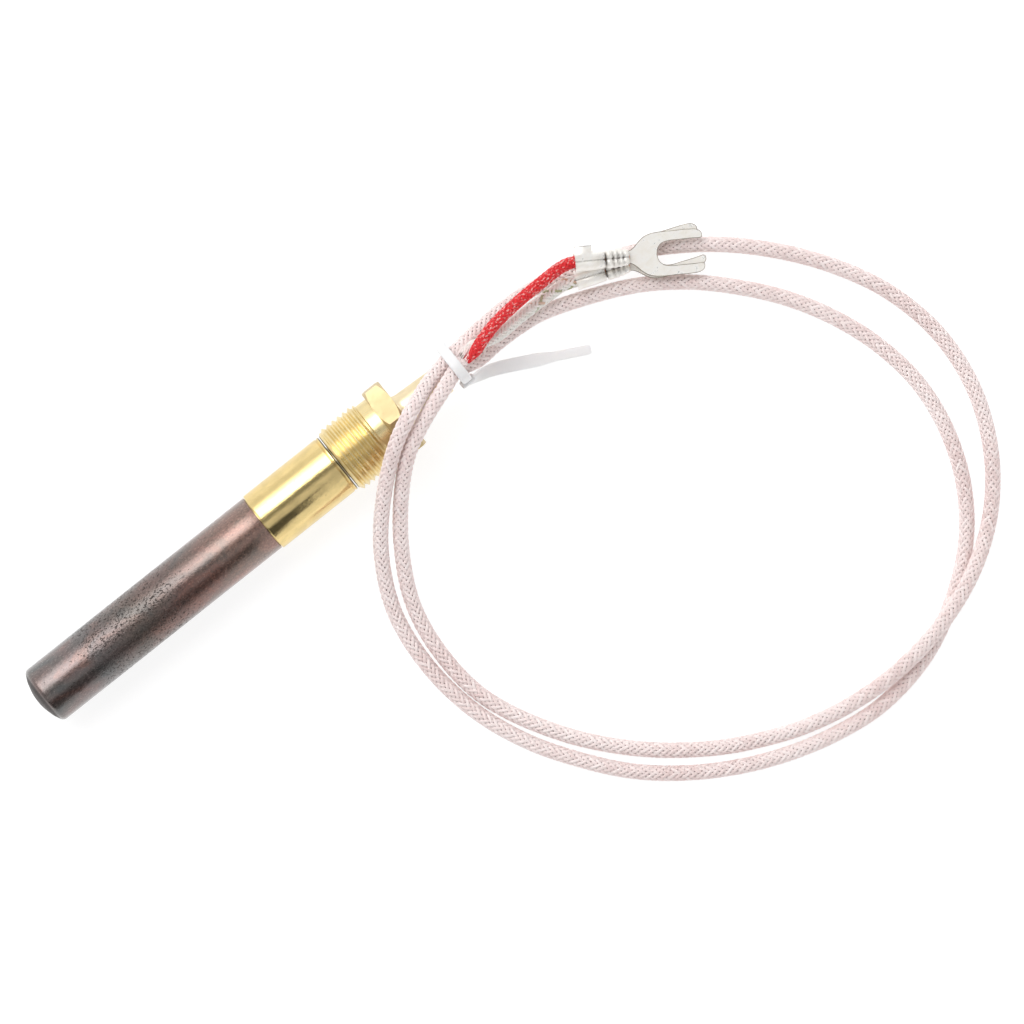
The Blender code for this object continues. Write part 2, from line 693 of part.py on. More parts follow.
# ---- Behind the cold junctions: ceramic disc, potting, the two splices and the inner wires. ----
sides = (SPLICE_OFFSET, 0.0), (-SPLICE_OFFSET, 0.0)
drilled_disc(
    "cold_end_disc", COLD_DISC_START_X, COLD_DISC_END_X, POTTING_RADIUS, sides, TAIL_HOLE_RADIUS, ceramic
)
drilled_disc("cement_plug", CEMENT_START_X, CEMENT_END_X, POTTING_RADIUS, sides, SPLICE_HOLE_RADIUS, cement)
for name, side in (("positive_splice", 1.0), ("negative_splice", -1.0)):
    splice = turned(
        name,
        (
            (SPLICE_START_X, 0.0),
            (SPLICE_START_X, SPLICE_RADIUS - SPLICE_CHAMFER),
            (SPLICE_START_X + SPLICE_CHAMFER, SPLICE_RADIUS),
            (SPLICE_END_X - SPLICE_CHAMFER, SPLICE_RADIUS),
            (SPLICE_END_X, SPLICE_RADIUS - SPLICE_CHAMFER),
            (SPLICE_END_X, 0.0),
        ),
        copper,
        INNER_SEGMENTS,
    )
    splice.location.y = side * SPLICE_OFFSET * MM
straight_end_x = INNER_WIRE_START_X + INNER_WIRE_STRAIGHT
for name, side, surface in (("inner_wire_red", 1.0, red_braid), ("inner_wire_white", -1.0, white_braid)):
    tube(
        name,
        (
            (INNER_WIRE_START_X, side * SPLICE_OFFSET, AXIS_HEIGHT),
            (straight_end_x, side * (SPLICE_OFFSET - INNER_WIRE_INSET), AXIS_HEIGHT),
            (INNER_WIRE_START_X + INNER_WIRE_BEND_LENGTH, side * INNER_WIRE_OFFSET, AXIS_HEIGHT),
            (INNER_WIRE_END_X, side * INNER_WIRE_OFFSET, AXIS_HEIGHT),
        ),
        INNER_WIRE_RADIUS,
        surface,
    )
turned(
    "lead_bush",
    (
        (BUSH_START_X, BUSH_BORE),
        (BUSH_START_X, BUSH_RADIUS),
        (BUSH_END_X, BUSH_RADIUS),
        (BUSH_END_X, BUSH_BORE),
    ),
    fibre_liner,
    INNER_SEGMENTS,
)

# ---- Lead cable: the glass-braid jacket, both loops. ----
tube("lead_cable", [Vector(LEAD_ROOT)] + smooth_route(LEAD_ROUTE, LEAD_POINTS), LEAD_RADIUS, glass_braid)

# ---- The two cores, thinner where they leave the jacket and full from there to their grips. ----
core_radii = [*CORE_ROOT_RADII] + [CORE_RADIUS] * (CORE_POINTS - 5) + [*CORE_GRIPPED_RADII]
tube("red_core", smooth_route(RED_ROUTE, CORE_POINTS), core_radii, red_braid)
tube("white_core", smooth_route(WHITE_ROUTE, CORE_POINTS), core_radii, white_braid)


# ---- Fork terminals: plate, insulation grip and conductor crimp in one piece. ----
def crimp_ring(name, start, stop, radius, bore):
    """A C-shaped ring lying on the plate's underside level, open at its top by a narrow seam."""
    outline = []
    for step in range(RING_STEPS + 1):
        angle = math.pi / 2 + RING_SEAM + (math.tau - 2 * RING_SEAM) * step / RING_STEPS
        outline.append((radius * math.cos(angle), radius + radius * math.sin(angle)))
    for step in range(RING_STEPS, -1, -1):
        angle = math.pi / 2 + RING_SEAM + (math.tau - 2 * RING_SEAM) * step / RING_STEPS
        outline.append((bore * math.cos(angle), radius + bore * math.sin(angle)))
    ring = slab(name, outline, start, stop, None, cutters)
    ring.data.transform(Matrix(((0, 0, 1, 0), (1, 0, 0, 0), (0, 1, 0, 0), (0, 0, 0, 1))))
    return ring


def terminal(name, conductor_name, place, turn, dip, wing):
    outline = [(x, -y) for x, y in FORK_HALF_OUTLINE] + [(SLOT_END_X, 0.0)]
    outline += [(x, y) for x, y in reversed(FORK_HALF_OUTLINE)]
    plate = slab(name, outline, 0.0, PLATE_THICKNESS, tinned_brass)
    pieces = [
        crimp_ring(name + "_grip", 0.0, GRIP_LENGTH, GRIP_RADIUS, GRIP_BORE),
        crimp_ring(name + "_crimp", CRIMP_START_X, CRIMP_END_X, CRIMP_RADIUS, CRIMP_BORE),
    ]
    if wing:
        tab = (
            (0.0, WING_START_Y),
            (WING_LENGTH, WING_START_Y),
            (WING_LENGTH, WING_END_Y),
            (0.0, WING_END_Y),
        )
        pieces.append(slab(name + "_wing", tab, WING_BOTTOM, WING_TOP, None, cutters))
    joined(plate, pieces)
    where = Matrix.Translation(Vector(place) * MM)
    where = where @ Matrix.Rotation(turn, 4, "Z") @ Matrix.Rotation(dip, 4, "Y")
    conductor = tube(conductor_name, CONDUCTOR_ROUTE, CONDUCTOR_RADIUS, copper)
    for piece in [plate, conductor] + pieces:
        piece.matrix_world = where @ piece.matrix_world


terminal(
    "fork_terminal_red", "conductor_red", RED_TERMINAL_PLACE, RED_TERMINAL_TURN, RED_TERMINAL_DIP, wing=True
)
terminal(
    "fork_terminal_white",
    "conductor_white",
    WHITE_TERMINAL_PLACE,
    WHITE_TERMINAL_TURN,
    WHITE_TERMINAL_DIP,
    wing=False,
)


# ---- Cable tie: the loop, the head and the tail, one piece of nylon. ----
def swept_band(name, sections, closed, collection):
    """A band through rectangular sections, each a list of four corners in mm."""
    shape = bmesh.new()
    rings = [[shape.verts.new(Vector(corner) * MM) for corner in section] for section in sections]
    pairs = list(zip(rings, rings[1:]))
    if closed:
        pairs.append((rings[-1], rings[0]))
    else:
        shape.faces.new(rings[0])
        shape.faces.new(rings[-1][::-1])
    for first, second in pairs:
        for side in range(4):
            after = (side + 1) % 4
            shape.faces.new((first[side], first[after], second[after], second[side]))
    mesh = bpy.data.meshes.new(name)
    shape.to_mesh(mesh)
    shape.free()
    return mesh_object(name, mesh, natural_nylon if collection is part else None, collection)


loop_sections = []
for index in range(TIE_LOOP_POINTS):
    angle = math.tau * index / TIE_LOOP_POINTS
    outward = (math.cos(angle), math.sin(angle))
    y, z = max(TIE_CORDS, key=lambda cord: cord[0] * outward[0] + cord[1] * outward[1])
    section = []
    for along, away in ((-1, -1), (1, -1), (1, 1), (-1, 1)):
        reach = TIE_LOOP_RADIUS + away * TIE_HALF_THICKNESS
        section.append((TIE_X + along * TIE_HALF_WIDTH, y + reach * outward[0], z + reach * outward[1]))
    loop_sections.append(section)
tie = swept_band("cable_tie", loop_sections, True, part)

tail_points = [Vector(point) for point in TIE_TAIL_ROUTE]
tail_end_way = (tail_points[-1] - tail_points[-2]).normalized()
tail_across = Vector((1.0, 0.0, 0.0)), Vector((-tail_end_way.y, tail_end_way.x, 0.0))
tail_sections = []
for index, (place, half_width) in enumerate(zip(tail_points, TIE_TAIL_HALF_WIDTHS)):
    before = tail_points[max(0, index - 1)]
    beyond = tail_points[min(len(tail_points) - 1, index + 1)]
    way = (beyond - before).normalized()
    across = tail_across[0].lerp(tail_across[1], min(1.0, index / TIE_TWIST_SECTIONS))
    across = (across - way * across.dot(way)).normalized()
    normal = way.cross(across)
    section = []
    for along, away in ((-1, -1), (1, -1), (1, 1), (-1, 1)):
        section.append(place + across * (along * half_width) + normal * (away * TIE_HALF_THICKNESS))
    tail_sections.append(section)
tail = swept_band("cable_tie_tail", tail_sections, False, cutters)

shape = bmesh.new()
bmesh.ops.create_cube(shape, size=MM)
bmesh.ops.scale(shape, vec=TIE_HEAD_SIZE, verts=shape.verts[:])
head_mesh = bpy.data.meshes.new("cable_tie_head")
shape.to_mesh(head_mesh)
shape.free()
head = mesh_object("cable_tie_head", head_mesh, None, cutters)
head.location = Vector(TIE_HEAD_CENTRE) * MM
edge = head.modifiers.new("rounding", "BEVEL")
edge.width = TIE_HEAD_ROUNDING * MM
edge.segments = 2
joined(tie, [head, tail])

for cutter in cutters.objects:
    cutter.hide_render = True
    cutter.display_type = "WIRE"
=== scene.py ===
"""Looks of a gas appliance's thermopile generator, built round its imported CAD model.

Lengths are in millimetres unless a name says otherwise, and MM turns them into the frame's metres.
+X runs along the probe from its hot tip to the lead, +Z is up and the floor is z = 0.
"""

import math

import bmesh
import bpy
import numpy as np
from mathutils import Matrix, Vector


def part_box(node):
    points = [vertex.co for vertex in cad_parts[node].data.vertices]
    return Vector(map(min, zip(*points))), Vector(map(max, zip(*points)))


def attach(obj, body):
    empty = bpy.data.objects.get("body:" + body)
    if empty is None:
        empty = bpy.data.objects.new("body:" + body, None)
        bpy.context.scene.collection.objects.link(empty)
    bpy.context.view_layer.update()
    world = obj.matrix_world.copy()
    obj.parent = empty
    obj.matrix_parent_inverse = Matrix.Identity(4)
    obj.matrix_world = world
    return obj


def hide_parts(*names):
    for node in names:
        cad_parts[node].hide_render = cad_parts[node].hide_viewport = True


MM = 0.001
SEED = 7
ROUTE_STEPS = 24

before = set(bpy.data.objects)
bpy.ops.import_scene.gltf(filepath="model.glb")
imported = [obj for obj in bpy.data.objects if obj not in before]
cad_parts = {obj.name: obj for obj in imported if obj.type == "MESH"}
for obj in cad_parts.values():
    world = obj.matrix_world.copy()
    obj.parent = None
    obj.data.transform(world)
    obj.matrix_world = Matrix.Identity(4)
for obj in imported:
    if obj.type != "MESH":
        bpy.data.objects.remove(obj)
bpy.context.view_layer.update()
HEAD_BODY = "generator"
NUT_BODY = "nut"


def span(node):
    """Lowest and highest corner of a CAD node, in mm."""
    low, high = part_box(node)
    return low / MM, high / MM


def linked(name, data):
    """A new object in the scene."""
    made = bpy.data.objects.new(name, data)
    bpy.context.scene.collection.objects.link(made)
    return made


sheath_low, sheath_high = span("probe_sheath")
sleeve_low, sleeve_high = span("cold_junction_sleeve")
nut_low, nut_high = span("attachment_nut")
neck_low, neck_high = span("rear_neck")
AXIS_HEIGHT = (sheath_low.z + sheath_high.z) / 2
SHEATH_RADIUS = (sheath_high.z - sheath_low.z) / 2
SLEEVE_RADIUS = (sleeve_high.z - sleeve_low.z) / 2
SLEEVE_START_X = sheath_high.x + 0.1

# ---- Camera: straight above, turned so that the head runs from lower left to upper right. ----
VIEW_CENTRE = (35.8, -22.9, 5.0)
VIEW_TURN = math.radians(-38.466)
VIEW_WIDTH = 160.0
VIEW_LENS = 300.0
SENSOR_WIDTH = 36.0


def make_camera():
    data = bpy.data.cameras.new("camera")
    data.lens = VIEW_LENS
    data.sensor_width = SENSOR_WIDTH
    data.clip_start = 0.01
    data.clip_end = 10.0
    camera = linked("camera", data)
    height = VIEW_WIDTH * VIEW_LENS / SENSOR_WIDTH
    camera.location = (Vector(VIEW_CENTRE) + Vector((0, 0, height))) * MM
    camera.rotation_euler = (0.0, 0.0, VIEW_TURN)
    bpy.context.scene.camera = camera


make_camera()

# ---- Routes: the CAD model's, with the red core's last bend eased. ----
LEAD_ROUTE = (
    (37.2, 0.0, 6.93),
    (41.0, 0.0, 6.93),
    (43.4, -0.3, 6.7),
    (46.5, -1.0, 5.9),
    (50.6, -0.8, 4.5),
    (54.9, -0.9, 3.0),
    (59.1, -1.5, 1.9),
    (66.7, -4.2, 1.3),
    (73.8, -7.6, 1.3),
    (80.0, -12.0, 1.3),
    (85.5, -17.4, 1.3),
    (90.3, -23.4, 1.3),
    (94.2, -30.3, 1.3),
    (97.0, -38.1, 1.3),
    (98.2, -46.7, 1.3),
    (97.1, -55.3, 1.3),
    (93.8, -63.7, 1.3),
    (88.3, -71.1, 1.3),
    (80.6, -77.0, 1.3),
    (72.2, -81.0, 1.3),
    (62.4, -82.6, 1.3),
    (54.6, -81.8, 1.3),
    (46.8, -79.7, 1.3),
    (39.3, -76.5, 1.3),
    (32.2, -72.2, 1.3),
    (25.6, -66.7, 1.3),
    (20.2, -60.2, 1.3),
    (15.2, -52.3, 1.3),
    (11.8, -43.5, 1.3),
    (10.5, -34.0, 1.4),
    (11.6, -24.0, 2.9),
    (16.0, -15.0, 6.9),
    (22.8, -7.6, 12.0),
    (28.6, -3.3, 15.7),
    (32.6, -1.25, 16.3),
    (36.0, 0.15, 13.9),
    (39.4, 1.25, 11.5),
    (43.1, 1.95, 10.0),
    (50.0, 2.7, 6.1),
    (57.8, 2.7, 2.6),
    (64.8, 1.5, 1.4),
    (72.0, -1.0, 1.3),
    (79.4, -4.7, 1.3),
    (87.1, -10.1, 1.3),
    (93.6, -16.5, 1.3),
    (99.2, -24.0, 1.3),
    (103.5, -32.7, 1.3),
    (105.5, -42.6, 1.3),
    (104.5, -52.7, 1.3),
    (100.5, -62.1, 1.4),
    (94.2, -69.8, 1.9),
    (86.0, -75.3, 3.7),
    (76.7, -78.6, 4.0),
    (67.3, -79.9, 3.4),
    (58.8, -79.5, 2.2),
    (51.0, -77.8, 1.4),
    (44.4, -75.2, 1.3),
    (37.5, -71.5, 1.3),
    (28.4, -64.4, 1.3),
    (20.4, -55.0, 1.3),
    (14.5, -43.4, 1.3),
    (13.3, -34.0, 1.4),
    (14.6, -24.9, 2.7),
    (19.0, -16.3, 6.3),
    (25.2, -8.9, 11.3),
    (29.7, -5.35, 14.5),
    (34.3, -3.15, 14.5),
    (39.4, -1.35, 13.2),
    (44.2, 0.4, 11.7),
)
RED_ROUTE = (
    (44.8, -0.1, 11.7),
    (46.6, 0.15, 11.8),
    (49.0, 0.95, 11.2),
    (51.9, 1.65, 10.2),
    (55.9, 2.1, 9.0),
    (59.9, 2.25, 8.0),
    (63.0, 2.3, 7.4),
    (65.3, 2.25, 7.2),
    (67.2, 1.79, 7.22),
    (70.0, 0.0, 6.9),
)
WHITE_ROUTE = (
    (44.8, 1.1, 11.2),
    (46.6, 1.15, 10.0),
    (48.6, 0.65, 9.0),
    (51.2, 0.05, 7.9),
    (55.0, 0.15, 6.2),
    (58.4, 0.15, 4.95),
    (61.5, 0.05, 4.3),
    (64.0, -0.1, 4.12),
    (65.8, -0.68, 4.15),
    (68.9, -1.89, 4.15),
)
LEAD_RADIUS = 1.25
CORE_RADIUS = 1.02
CORE_STEP = 0.16
LEAD_STEP = 0.3

# Where the terminals lie: their own +x runs from the wire to the fork's tips, and z = 0 is under the plate.
RED_TERMINAL_PLACE = (67.5, 1.6, 5.68)
RED_TERMINAL_TURN = math.radians(-32.5)
RED_TERMINAL_DIP = math.radians(6.6)
WHITE_TERMINAL_PLACE = (66.1, -0.8, 2.6)
WHITE_TERMINAL_TURN = math.radians(-21.3)
# Lower in the crimp than the CAD's bare conductor, and 0.3 mm shorter, so that the crimp hides it.
CONDUCTOR_ROUTE = ((3.5, 0.0, 1.3), (4.3, 0.0, 0.95), (5.1, 0.0, 0.74), (8.8, 0.0, 0.74))


def terminal_matrix(place, turn, dip):
    """From a terminal's own millimetres to the frame's millimetres."""
    return Matrix.Translation(Vector(place)) @ Matrix.Rotation(turn, 4, "Z") @ Matrix.Rotation(dip, 4, "Y")


RED_TERMINAL = terminal_matrix(RED_TERMINAL_PLACE, RED_TERMINAL_TURN, RED_TERMINAL_DIP)
WHITE_TERMINAL = terminal_matrix(WHITE_TERMINAL_PLACE, WHITE_TERMINAL_TURN, 0.0)


def smooth_route(points, step_length):
    """A centripetal Catmull-Rom curve through the points, as an array at equal steps of about step_length."""
    places = [Vector(point) for point in points]
    ends = [places[0] * 2 - places[1]] + places + [places[-1] * 2 - places[-2]]
    fine = []
    for first, start, stop, last in zip(ends, ends[1:], ends[2:], ends[3:]):
        knots = [0.0]
        for one, two in ((first, start), (start, stop), (stop, last)):
            knots.append(knots[-1] + math.sqrt((two - one).length))
        for step in range(ROUTE_STEPS):
            at = knots[1] + (knots[2] - knots[1]) * step / ROUTE_STEPS
            a1 = first.lerp(start, (at - knots[0]) / (knots[1] - knots[0]))
            a2 = start.lerp(stop, (at - knots[1]) / (knots[2] - knots[1]))
            a3 = stop.lerp(last, (at - knots[2]) / (knots[3] - knots[2]))
            b1 = a1.lerp(a2, (at - knots[0]) / (knots[2] - knots[0]))
            b2 = a2.lerp(a3, (at - knots[1]) / (knots[3] - knots[1]))
            fine.append(b1.lerp(b2, (at - knots[1]) / (knots[2] - knots[1])))
    fine.append(places[-1])
    line = np.array(fine, float)
    run = np.concatenate([[0.0], np.cumsum(np.linalg.norm(np.diff(line, axis=0), axis=1))])
    wanted = np.linspace(0.0, run[-1], max(2, round(run[-1] / step_length) + 1))
    return np.stack([np.interp(wanted, run, line[:, axis]) for axis in range(3)], axis=1)


def carried_frames(line):
    """Tangents and two normals along a line, carried along it without twist."""
    tangents = np.gradient(line, axis=0)
    tangents /= np.linalg.norm(tangents, axis=1)[:, None]
    normal = np.cross(tangents[0], (0.3, 1.0, 0.2))
    normals = []
    for tangent in tangents:
        normal = normal - tangent * (tangent @ normal)
        normal = normal / np.linalg.norm(normal)
        normals.append(normal)
    normals = np.array(normals)
    return tangents, normals, np.cross(tangents, normals)


# ---- Materials. ----
class Look:
    """A Principled material, with short ways to add nodes to it. Coordinates are the object's own, in mm."""

    def __init__(self, name, **sockets):
        self.material = bpy.data.materials.new(name)
        self.material.use_nodes = True
        self.tree = self.material.node_tree
        self.shader = self.tree.nodes["Principled BSDF"]
        for socket, value in sockets.items():
            self.set(socket.replace("_", " ").title().replace("Ior", "IOR"), value)
        coordinates = self.tree.nodes.new("ShaderNodeTexCoord")
        self.place = self.node(
            "ShaderNodeVectorMath", {0: coordinates.outputs["Object"], 1: (1 / MM,) * 3}, operation="MULTIPLY"
        ).outputs[0]
        self.uv = coordinates.outputs["UV"]

    def feed(self, socket, value):
        if isinstance(value, bpy.types.NodeSocket):
            self.tree.links.new(value, socket)
        elif socket.type == "RGBA" and len(value) == 3:
            socket.default_value = (*value, 1.0)
        else:
            socket.default_value = value

    def set(self, socket, value):
        self.feed(self.shader.inputs[socket], value)

    def node(self, kind, inputs, **settings):
        made = self.tree.nodes.new(kind)
        for name, value in settings.items():
            setattr(made, name, value)
        for name, value in inputs.items():
            self.feed(made.inputs[name], value)
        return made

    def scaled(self, scale, source=None):
        """The coordinates times one number for each axis."""
        inputs = {0: source or self.place, 1: scale}
        return self.node("ShaderNodeVectorMath", inputs, operation="MULTIPLY").outputs[0]

    def noise(self, scale, detail=3.0, roughness=0.5, source=None, warp=0.0):
        """Noise from 0 to 1 with so many bumps to a millimetre along each axis."""
        inputs = {"Vector": self.scaled(scale, source), "Scale": 1.0, "Detail": detail}
        inputs["Roughness"] = roughness
        inputs["Distortion"] = warp
        return self.node("ShaderNodeTexNoise", inputs).outputs["Fac"]

    def along(self, axis):
        """The coordinate along one axis, in mm."""
        return self.node("ShaderNodeSeparateXYZ", {"Vector": self.place}).outputs[axis]

    def ranged(self, value, low, high, bottom=0.0, top=1.0):
        """The value's place between low and high, as a number from bottom to top."""
        inputs = {"Value": value, "From Min": low, "From Max": high, "To Min": bottom, "To Max": top}
        return self.node("ShaderNodeMapRange", inputs, interpolation_type="SMOOTHSTEP").outputs["Result"]

    def maths(self, operation, first, second):
        return self.node("ShaderNodeMath", {0: first, 1: second}, operation=operation).outputs[0]

    def times(self, first, second):
        return self.maths("MULTIPLY", first, second)

    def plus(self, first, second):
        return self.maths("ADD", first, second)

    def mixed(self, amount, first, second, blend="MIX"):
        made = self.node("ShaderNodeMix", {}, data_type="RGBA", blend_type=blend)
        self.feed(made.inputs["Factor"], amount)
        self.feed(made.inputs[6], first)
        self.feed(made.inputs[7], second)
        return made.outputs[2]

    def ramp(self, value, stops):
        """A colour ramp through (place, colour) stops."""
        made = self.node("ShaderNodeValToRGB", {"Fac": value})
        ramp = made.color_ramp
        while len(ramp.elements) < len(stops):
            ramp.elements.new(1.0)
        for element, (place, colour) in zip(ramp.elements, stops):
            element.position = place
            element.color = (*colour, 1.0)
        return made.outputs["Color"]

    def bump(self, height, depth, normal=None, strength=1.0):
        """A bump whose height of 1 stands for depth mm."""
        inputs = {"Height": height, "Distance": depth * MM, "Strength": strength}
        if normal:
            inputs["Normal"] = normal
        return self.node("ShaderNodeBump", inputs).outputs["Normal"]


def sheath_look():
    """Heat-tinted metal under a thin oxide: grey near the tip, redder near the sleeve, pitted between."""
    look = Look("heat_tinted_steel", metallic=0.92, coat_weight=1.0, coat_ior=1.8)
    along = look.ranged(look.along("X"), sheath_low.x, sheath_high.x)
    lengthwise = look.ramp(
        along,
        (
            (0.0, (0.13, 0.1, 0.09)),
            (0.09, (0.135, 0.1, 0.092)),
            (0.17, (0.105, 0.092, 0.088)),
            (0.42, (0.115, 0.07, 0.052)),
            (0.66, (0.12, 0.07, 0.056)),
            (0.86, (0.17, 0.095, 0.072)),
            (1.0, (0.225, 0.125, 0.09)),
        ),
    )
    broad = look.noise((0.13, 0.26, 0.26), detail=5.0, warp=0.7)
    blotches = look.ramp(
        broad,
        (
            (0.34, (0.62, 0.78, 0.84)),
            (0.46, (0.92, 0.94, 0.94)),
            (0.56, (1.05, 0.96, 0.98)),
            (0.7, (1.3, 0.88, 0.76)),
        ),
    )
    colour = look.mixed(1.0, lengthwise, blotches, "MULTIPLY")
    mottle = look.noise((2.2, 2.6, 2.6), detail=6.0, roughness=0.7)
    colour = look.mixed(1.0, colour, look.ramp(mottle, ((0.3, (0.55,) * 3), (0.7, (1.45,) * 3))), "MULTIPLY")
    spots = look.ranged(look.noise((0.8, 1.0, 1.0), detail=6.0, roughness=0.66), 0.62, 0.7)
    colour = look.mixed(look.times(spots, 0.4), colour, (0.16, 0.06, 0.035))
    middle = look.times(look.ranged(along, 0.05, 0.2), look.ranged(along, 0.95, 0.5))
    pit_noise = look.noise((2.9, 3.4, 3.4), detail=4.0, roughness=0.62)
    threshold = look.ranged(middle, 0.0, 1.0, 0.66, 0.56)
    pits = look.ranged(look.maths("SUBTRACT", pit_noise, threshold), 0.0, 0.04)
    colour = look.mixed(look.times(pits, 0.75), colour, (0.03, 0.02, 0.018))
    # Painted dark reflection: the dome is coloured near black, made rougher and given less coat, for the dark
    # it reflects beyond the tip.
    dome = look.ranged(look.along("X"), sheath_low.x + 1.35, sheath_low.x + 1.05)
    colour = look.mixed(look.times(dome, 0.9), colour, (0.03, 0.022, 0.02))
    look.set("Base Color", colour)
    drawn = look.noise((0.25, 9.0, 9.0), detail=2.0)
    rough = look.plus(look.ranged(mottle, 0.3, 0.75, 0.24, 0.36), look.ranged(drawn, 0.3, 0.7, 0.0, 0.05))
    rough = look.plus(rough, look.times(pits, 0.3))
    look.set("Roughness", look.plus(rough, look.times(dome, 0.2)))
    look.set("Coat Roughness", look.ranged(mottle, 0.3, 0.75, 0.2, 0.3))
    coat = look.times(look.ranged(pits, 0.0, 1.0, 1.0, 0.25), look.ranged(dome, 0.0, 1.0, 1.0, 0.15))
    look.set("Coat Weight", coat)
    normal = look.bump(drawn, 0.003)
    normal = look.bump(look.noise((0.5, 0.6, 0.6), detail=2.0), 0.03, normal)
    normal = look.bump(mottle, 0.018, normal)
    grit = look.noise((3.6, 4.2, 4.2), detail=4.0, roughness=0.6)
    normal = look.bump(look.times(grit, middle), 0.055, normal)
    normal = look.bump(look.maths("SUBTRACT", 1.0, pits), 0.05, normal)
    look.set("Normal", normal)
    look.set("Coat Normal", normal)
    return look.material


def brass_look(name, colour, roughness, lengthwise, turned_marks, dull, seam=None):
    """Machined brass: scratches along the axis, turning marks round it and duller patches.

    seam is the (x, x) over which painted shade sets in, darkening the faces at the gap between sleeve and
    nut.
    """
    look = Look(name, metallic=1.0)
    patches = look.noise((0.35, 0.5, 0.5), detail=4.0, warp=0.4)
    tint = look.ramp(patches, ((0.3, tuple(part * 0.86 for part in colour)), (0.62, colour)))
    specks = look.ranged(look.noise((2.2, 2.6, 2.6), detail=4.0, roughness=0.62), 0.64, 0.72)
    tint = look.mixed(look.times(specks, dull), tint, (0.32, 0.19, 0.06))
    # Painted shade in the gap between sleeve and nut.
    if seam:
        tint = look.mixed(look.ranged(look.along("X"), *seam), tint, (0.05, 0.035, 0.02))
    look.set("Base Color", tint)
    scratch = look.noise((0.3, 11.0, 11.0), detail=3.0, roughness=0.6)
    marks = look.noise((14.0, 0.35, 0.35), detail=2.0)
    rough = look.ranged(patches, 0.3, 0.7, roughness + 0.07, roughness - 0.02)
    rough = look.plus(rough, look.times(specks, 0.18))
    look.set("Roughness", look.plus(rough, look.ranged(scratch, 0.45, 0.75, 0.0, 0.08)))
    normal = look.bump(scratch, lengthwise)
    normal = look.bump(marks, turned_marks, normal)
    normal = look.bump(look.noise((0.9, 1.1, 1.1), detail=3.0), 0.012, normal)
    normal = look.bump(look.noise((3.4, 4.4, 4.4), detail=3.0, roughness=0.6), 0.01, normal)
    look.set("Normal", normal)
    return look.material


def tinned_look():
    """Dull tin plate, warm white, smeared, with painted shade in the creases that the tone of its points
    marks.
    """
    look = Look("tinned_strip", metallic=0.35)
    patches = look.noise((0.55, 0.9, 0.9), detail=5.0, roughness=0.6, warp=0.5)
    colour = look.ramp(
        patches, ((0.3, (0.9, 0.86, 0.79)), (0.5, (0.96, 0.93, 0.88)), (0.7, (0.99, 0.98, 0.95)))
    )
    specks = look.ranged(look.noise((3.6, 3.6, 3.6), detail=3.0, roughness=0.6), 0.66, 0.74)
    colour = look.mixed(look.times(specks, 0.3), colour, (0.34, 0.3, 0.26))
    # The tone attribute here carries painted shade: the seam cuts, the creases and dents of the barrels, and
    # the wing's far end.
    tone = look.node("ShaderNodeAttribute", {}, attribute_name="tone").outputs["Fac"]
    painted_crease_shade = look.times(tone, look.ranged(look.noise((2.6, 2.6, 2.6), detail=3.0), 0.3, 0.6, 0.5, 1.2))
    look.set("Base Color", look.mixed(painted_crease_shade, colour, (0.09, 0.075, 0.065)))
    scratch = look.noise((9.0, 1.1, 4.0), detail=2.0, warp=0.3)
    rough = look.ranged(patches, 0.3, 0.7, 0.42, 0.26)
    look.set("Roughness", look.plus(rough, look.ranged(scratch, 0.5, 0.75, 0.0, 0.12)))
    normal = look.bump(scratch, 0.004)
    normal = look.bump(patches, 0.02, normal)
    look.set("Normal", normal)
    return look.material


def cut_edge_look():
    """The sheared edge of the strip, where the brass shows, tarnished, and darker still as painted shade that
    outlines the plate.
    """
    look = Look("sheared_edge", metallic=0.8)
    streaks = look.noise((1.2, 1.2, 9.0), detail=3.0, roughness=0.6)
    look.set("Base Color", look.ramp(streaks, ((0.3, (0.16, 0.135, 0.11)), (0.7, (0.44, 0.38, 0.3)))))
    look.set("Roughness", look.ranged(streaks, 0.3, 0.7, 0.6, 0.42))
    look.set("Normal", look.bump(streaks, 0.01))
    return look.material


def yarn_look(name, dark, mid, light, streaks, tone_amount, drift):
    """A flat bundle of fibres: streaks along it, a tone for each bundle, and slow changes of colour."""
    look = Look(name, roughness=0.7, sheen_weight=0.12, specular_ior_level=0.35)
    fibres = look.noise((1.4, 15.0, 1.0), detail=3.0, roughness=0.65, source=look.uv)
    slow = look.noise((0.05, 0.05, 0.05), detail=3.0)
    tone = look.node("ShaderNodeAttribute", {}, attribute_name="tone").outputs["Fac"]
    grey = look.plus(look.times(fibres, streaks), look.times(tone, tone_amount))
    grey = look.plus(grey, look.ranged(slow, 0.3, 0.7, 0.2 - drift, 0.2 + drift))
    look.set("Base Color", look.ramp(grey, ((0.2, dark), (0.5, mid), (0.85, light))))
    look.set("Normal", look.bump(fibres, 0.05))
    return look.material


def fleck_look(name, base, fleck, shade, amount, fade=None):
    """A bright yarn with light flecks where its fibres catch the light.

    fade is (x, x, colour): that colour up to the first x, and the yarn's own from the second.
    """
    look = Look(name, roughness=0.55, sheen_weight=0.15)
    fibres = look.noise((1.6, 14.0, 1.0), detail=3.0, roughness=0.6, source=look.uv)
    spots = look.ranged(look.noise((1.7, 3.4, 1.7), detail=3.0, roughness=0.6), 0.64 - amount, 0.72 - amount)
    colour = look.mixed(look.ranged(fibres, 0.3, 0.65), shade, base)
    colour = look.mixed(look.times(spots, 0.7), colour, fleck)
    if fade:
        colour = look.mixed(look.ranged(look.along("X"), fade[0], fade[1]), fade[2], colour)
    look.set("Base Color", colour)
    look.set("Normal", look.bump(fibres, 0.05))
    return look.material


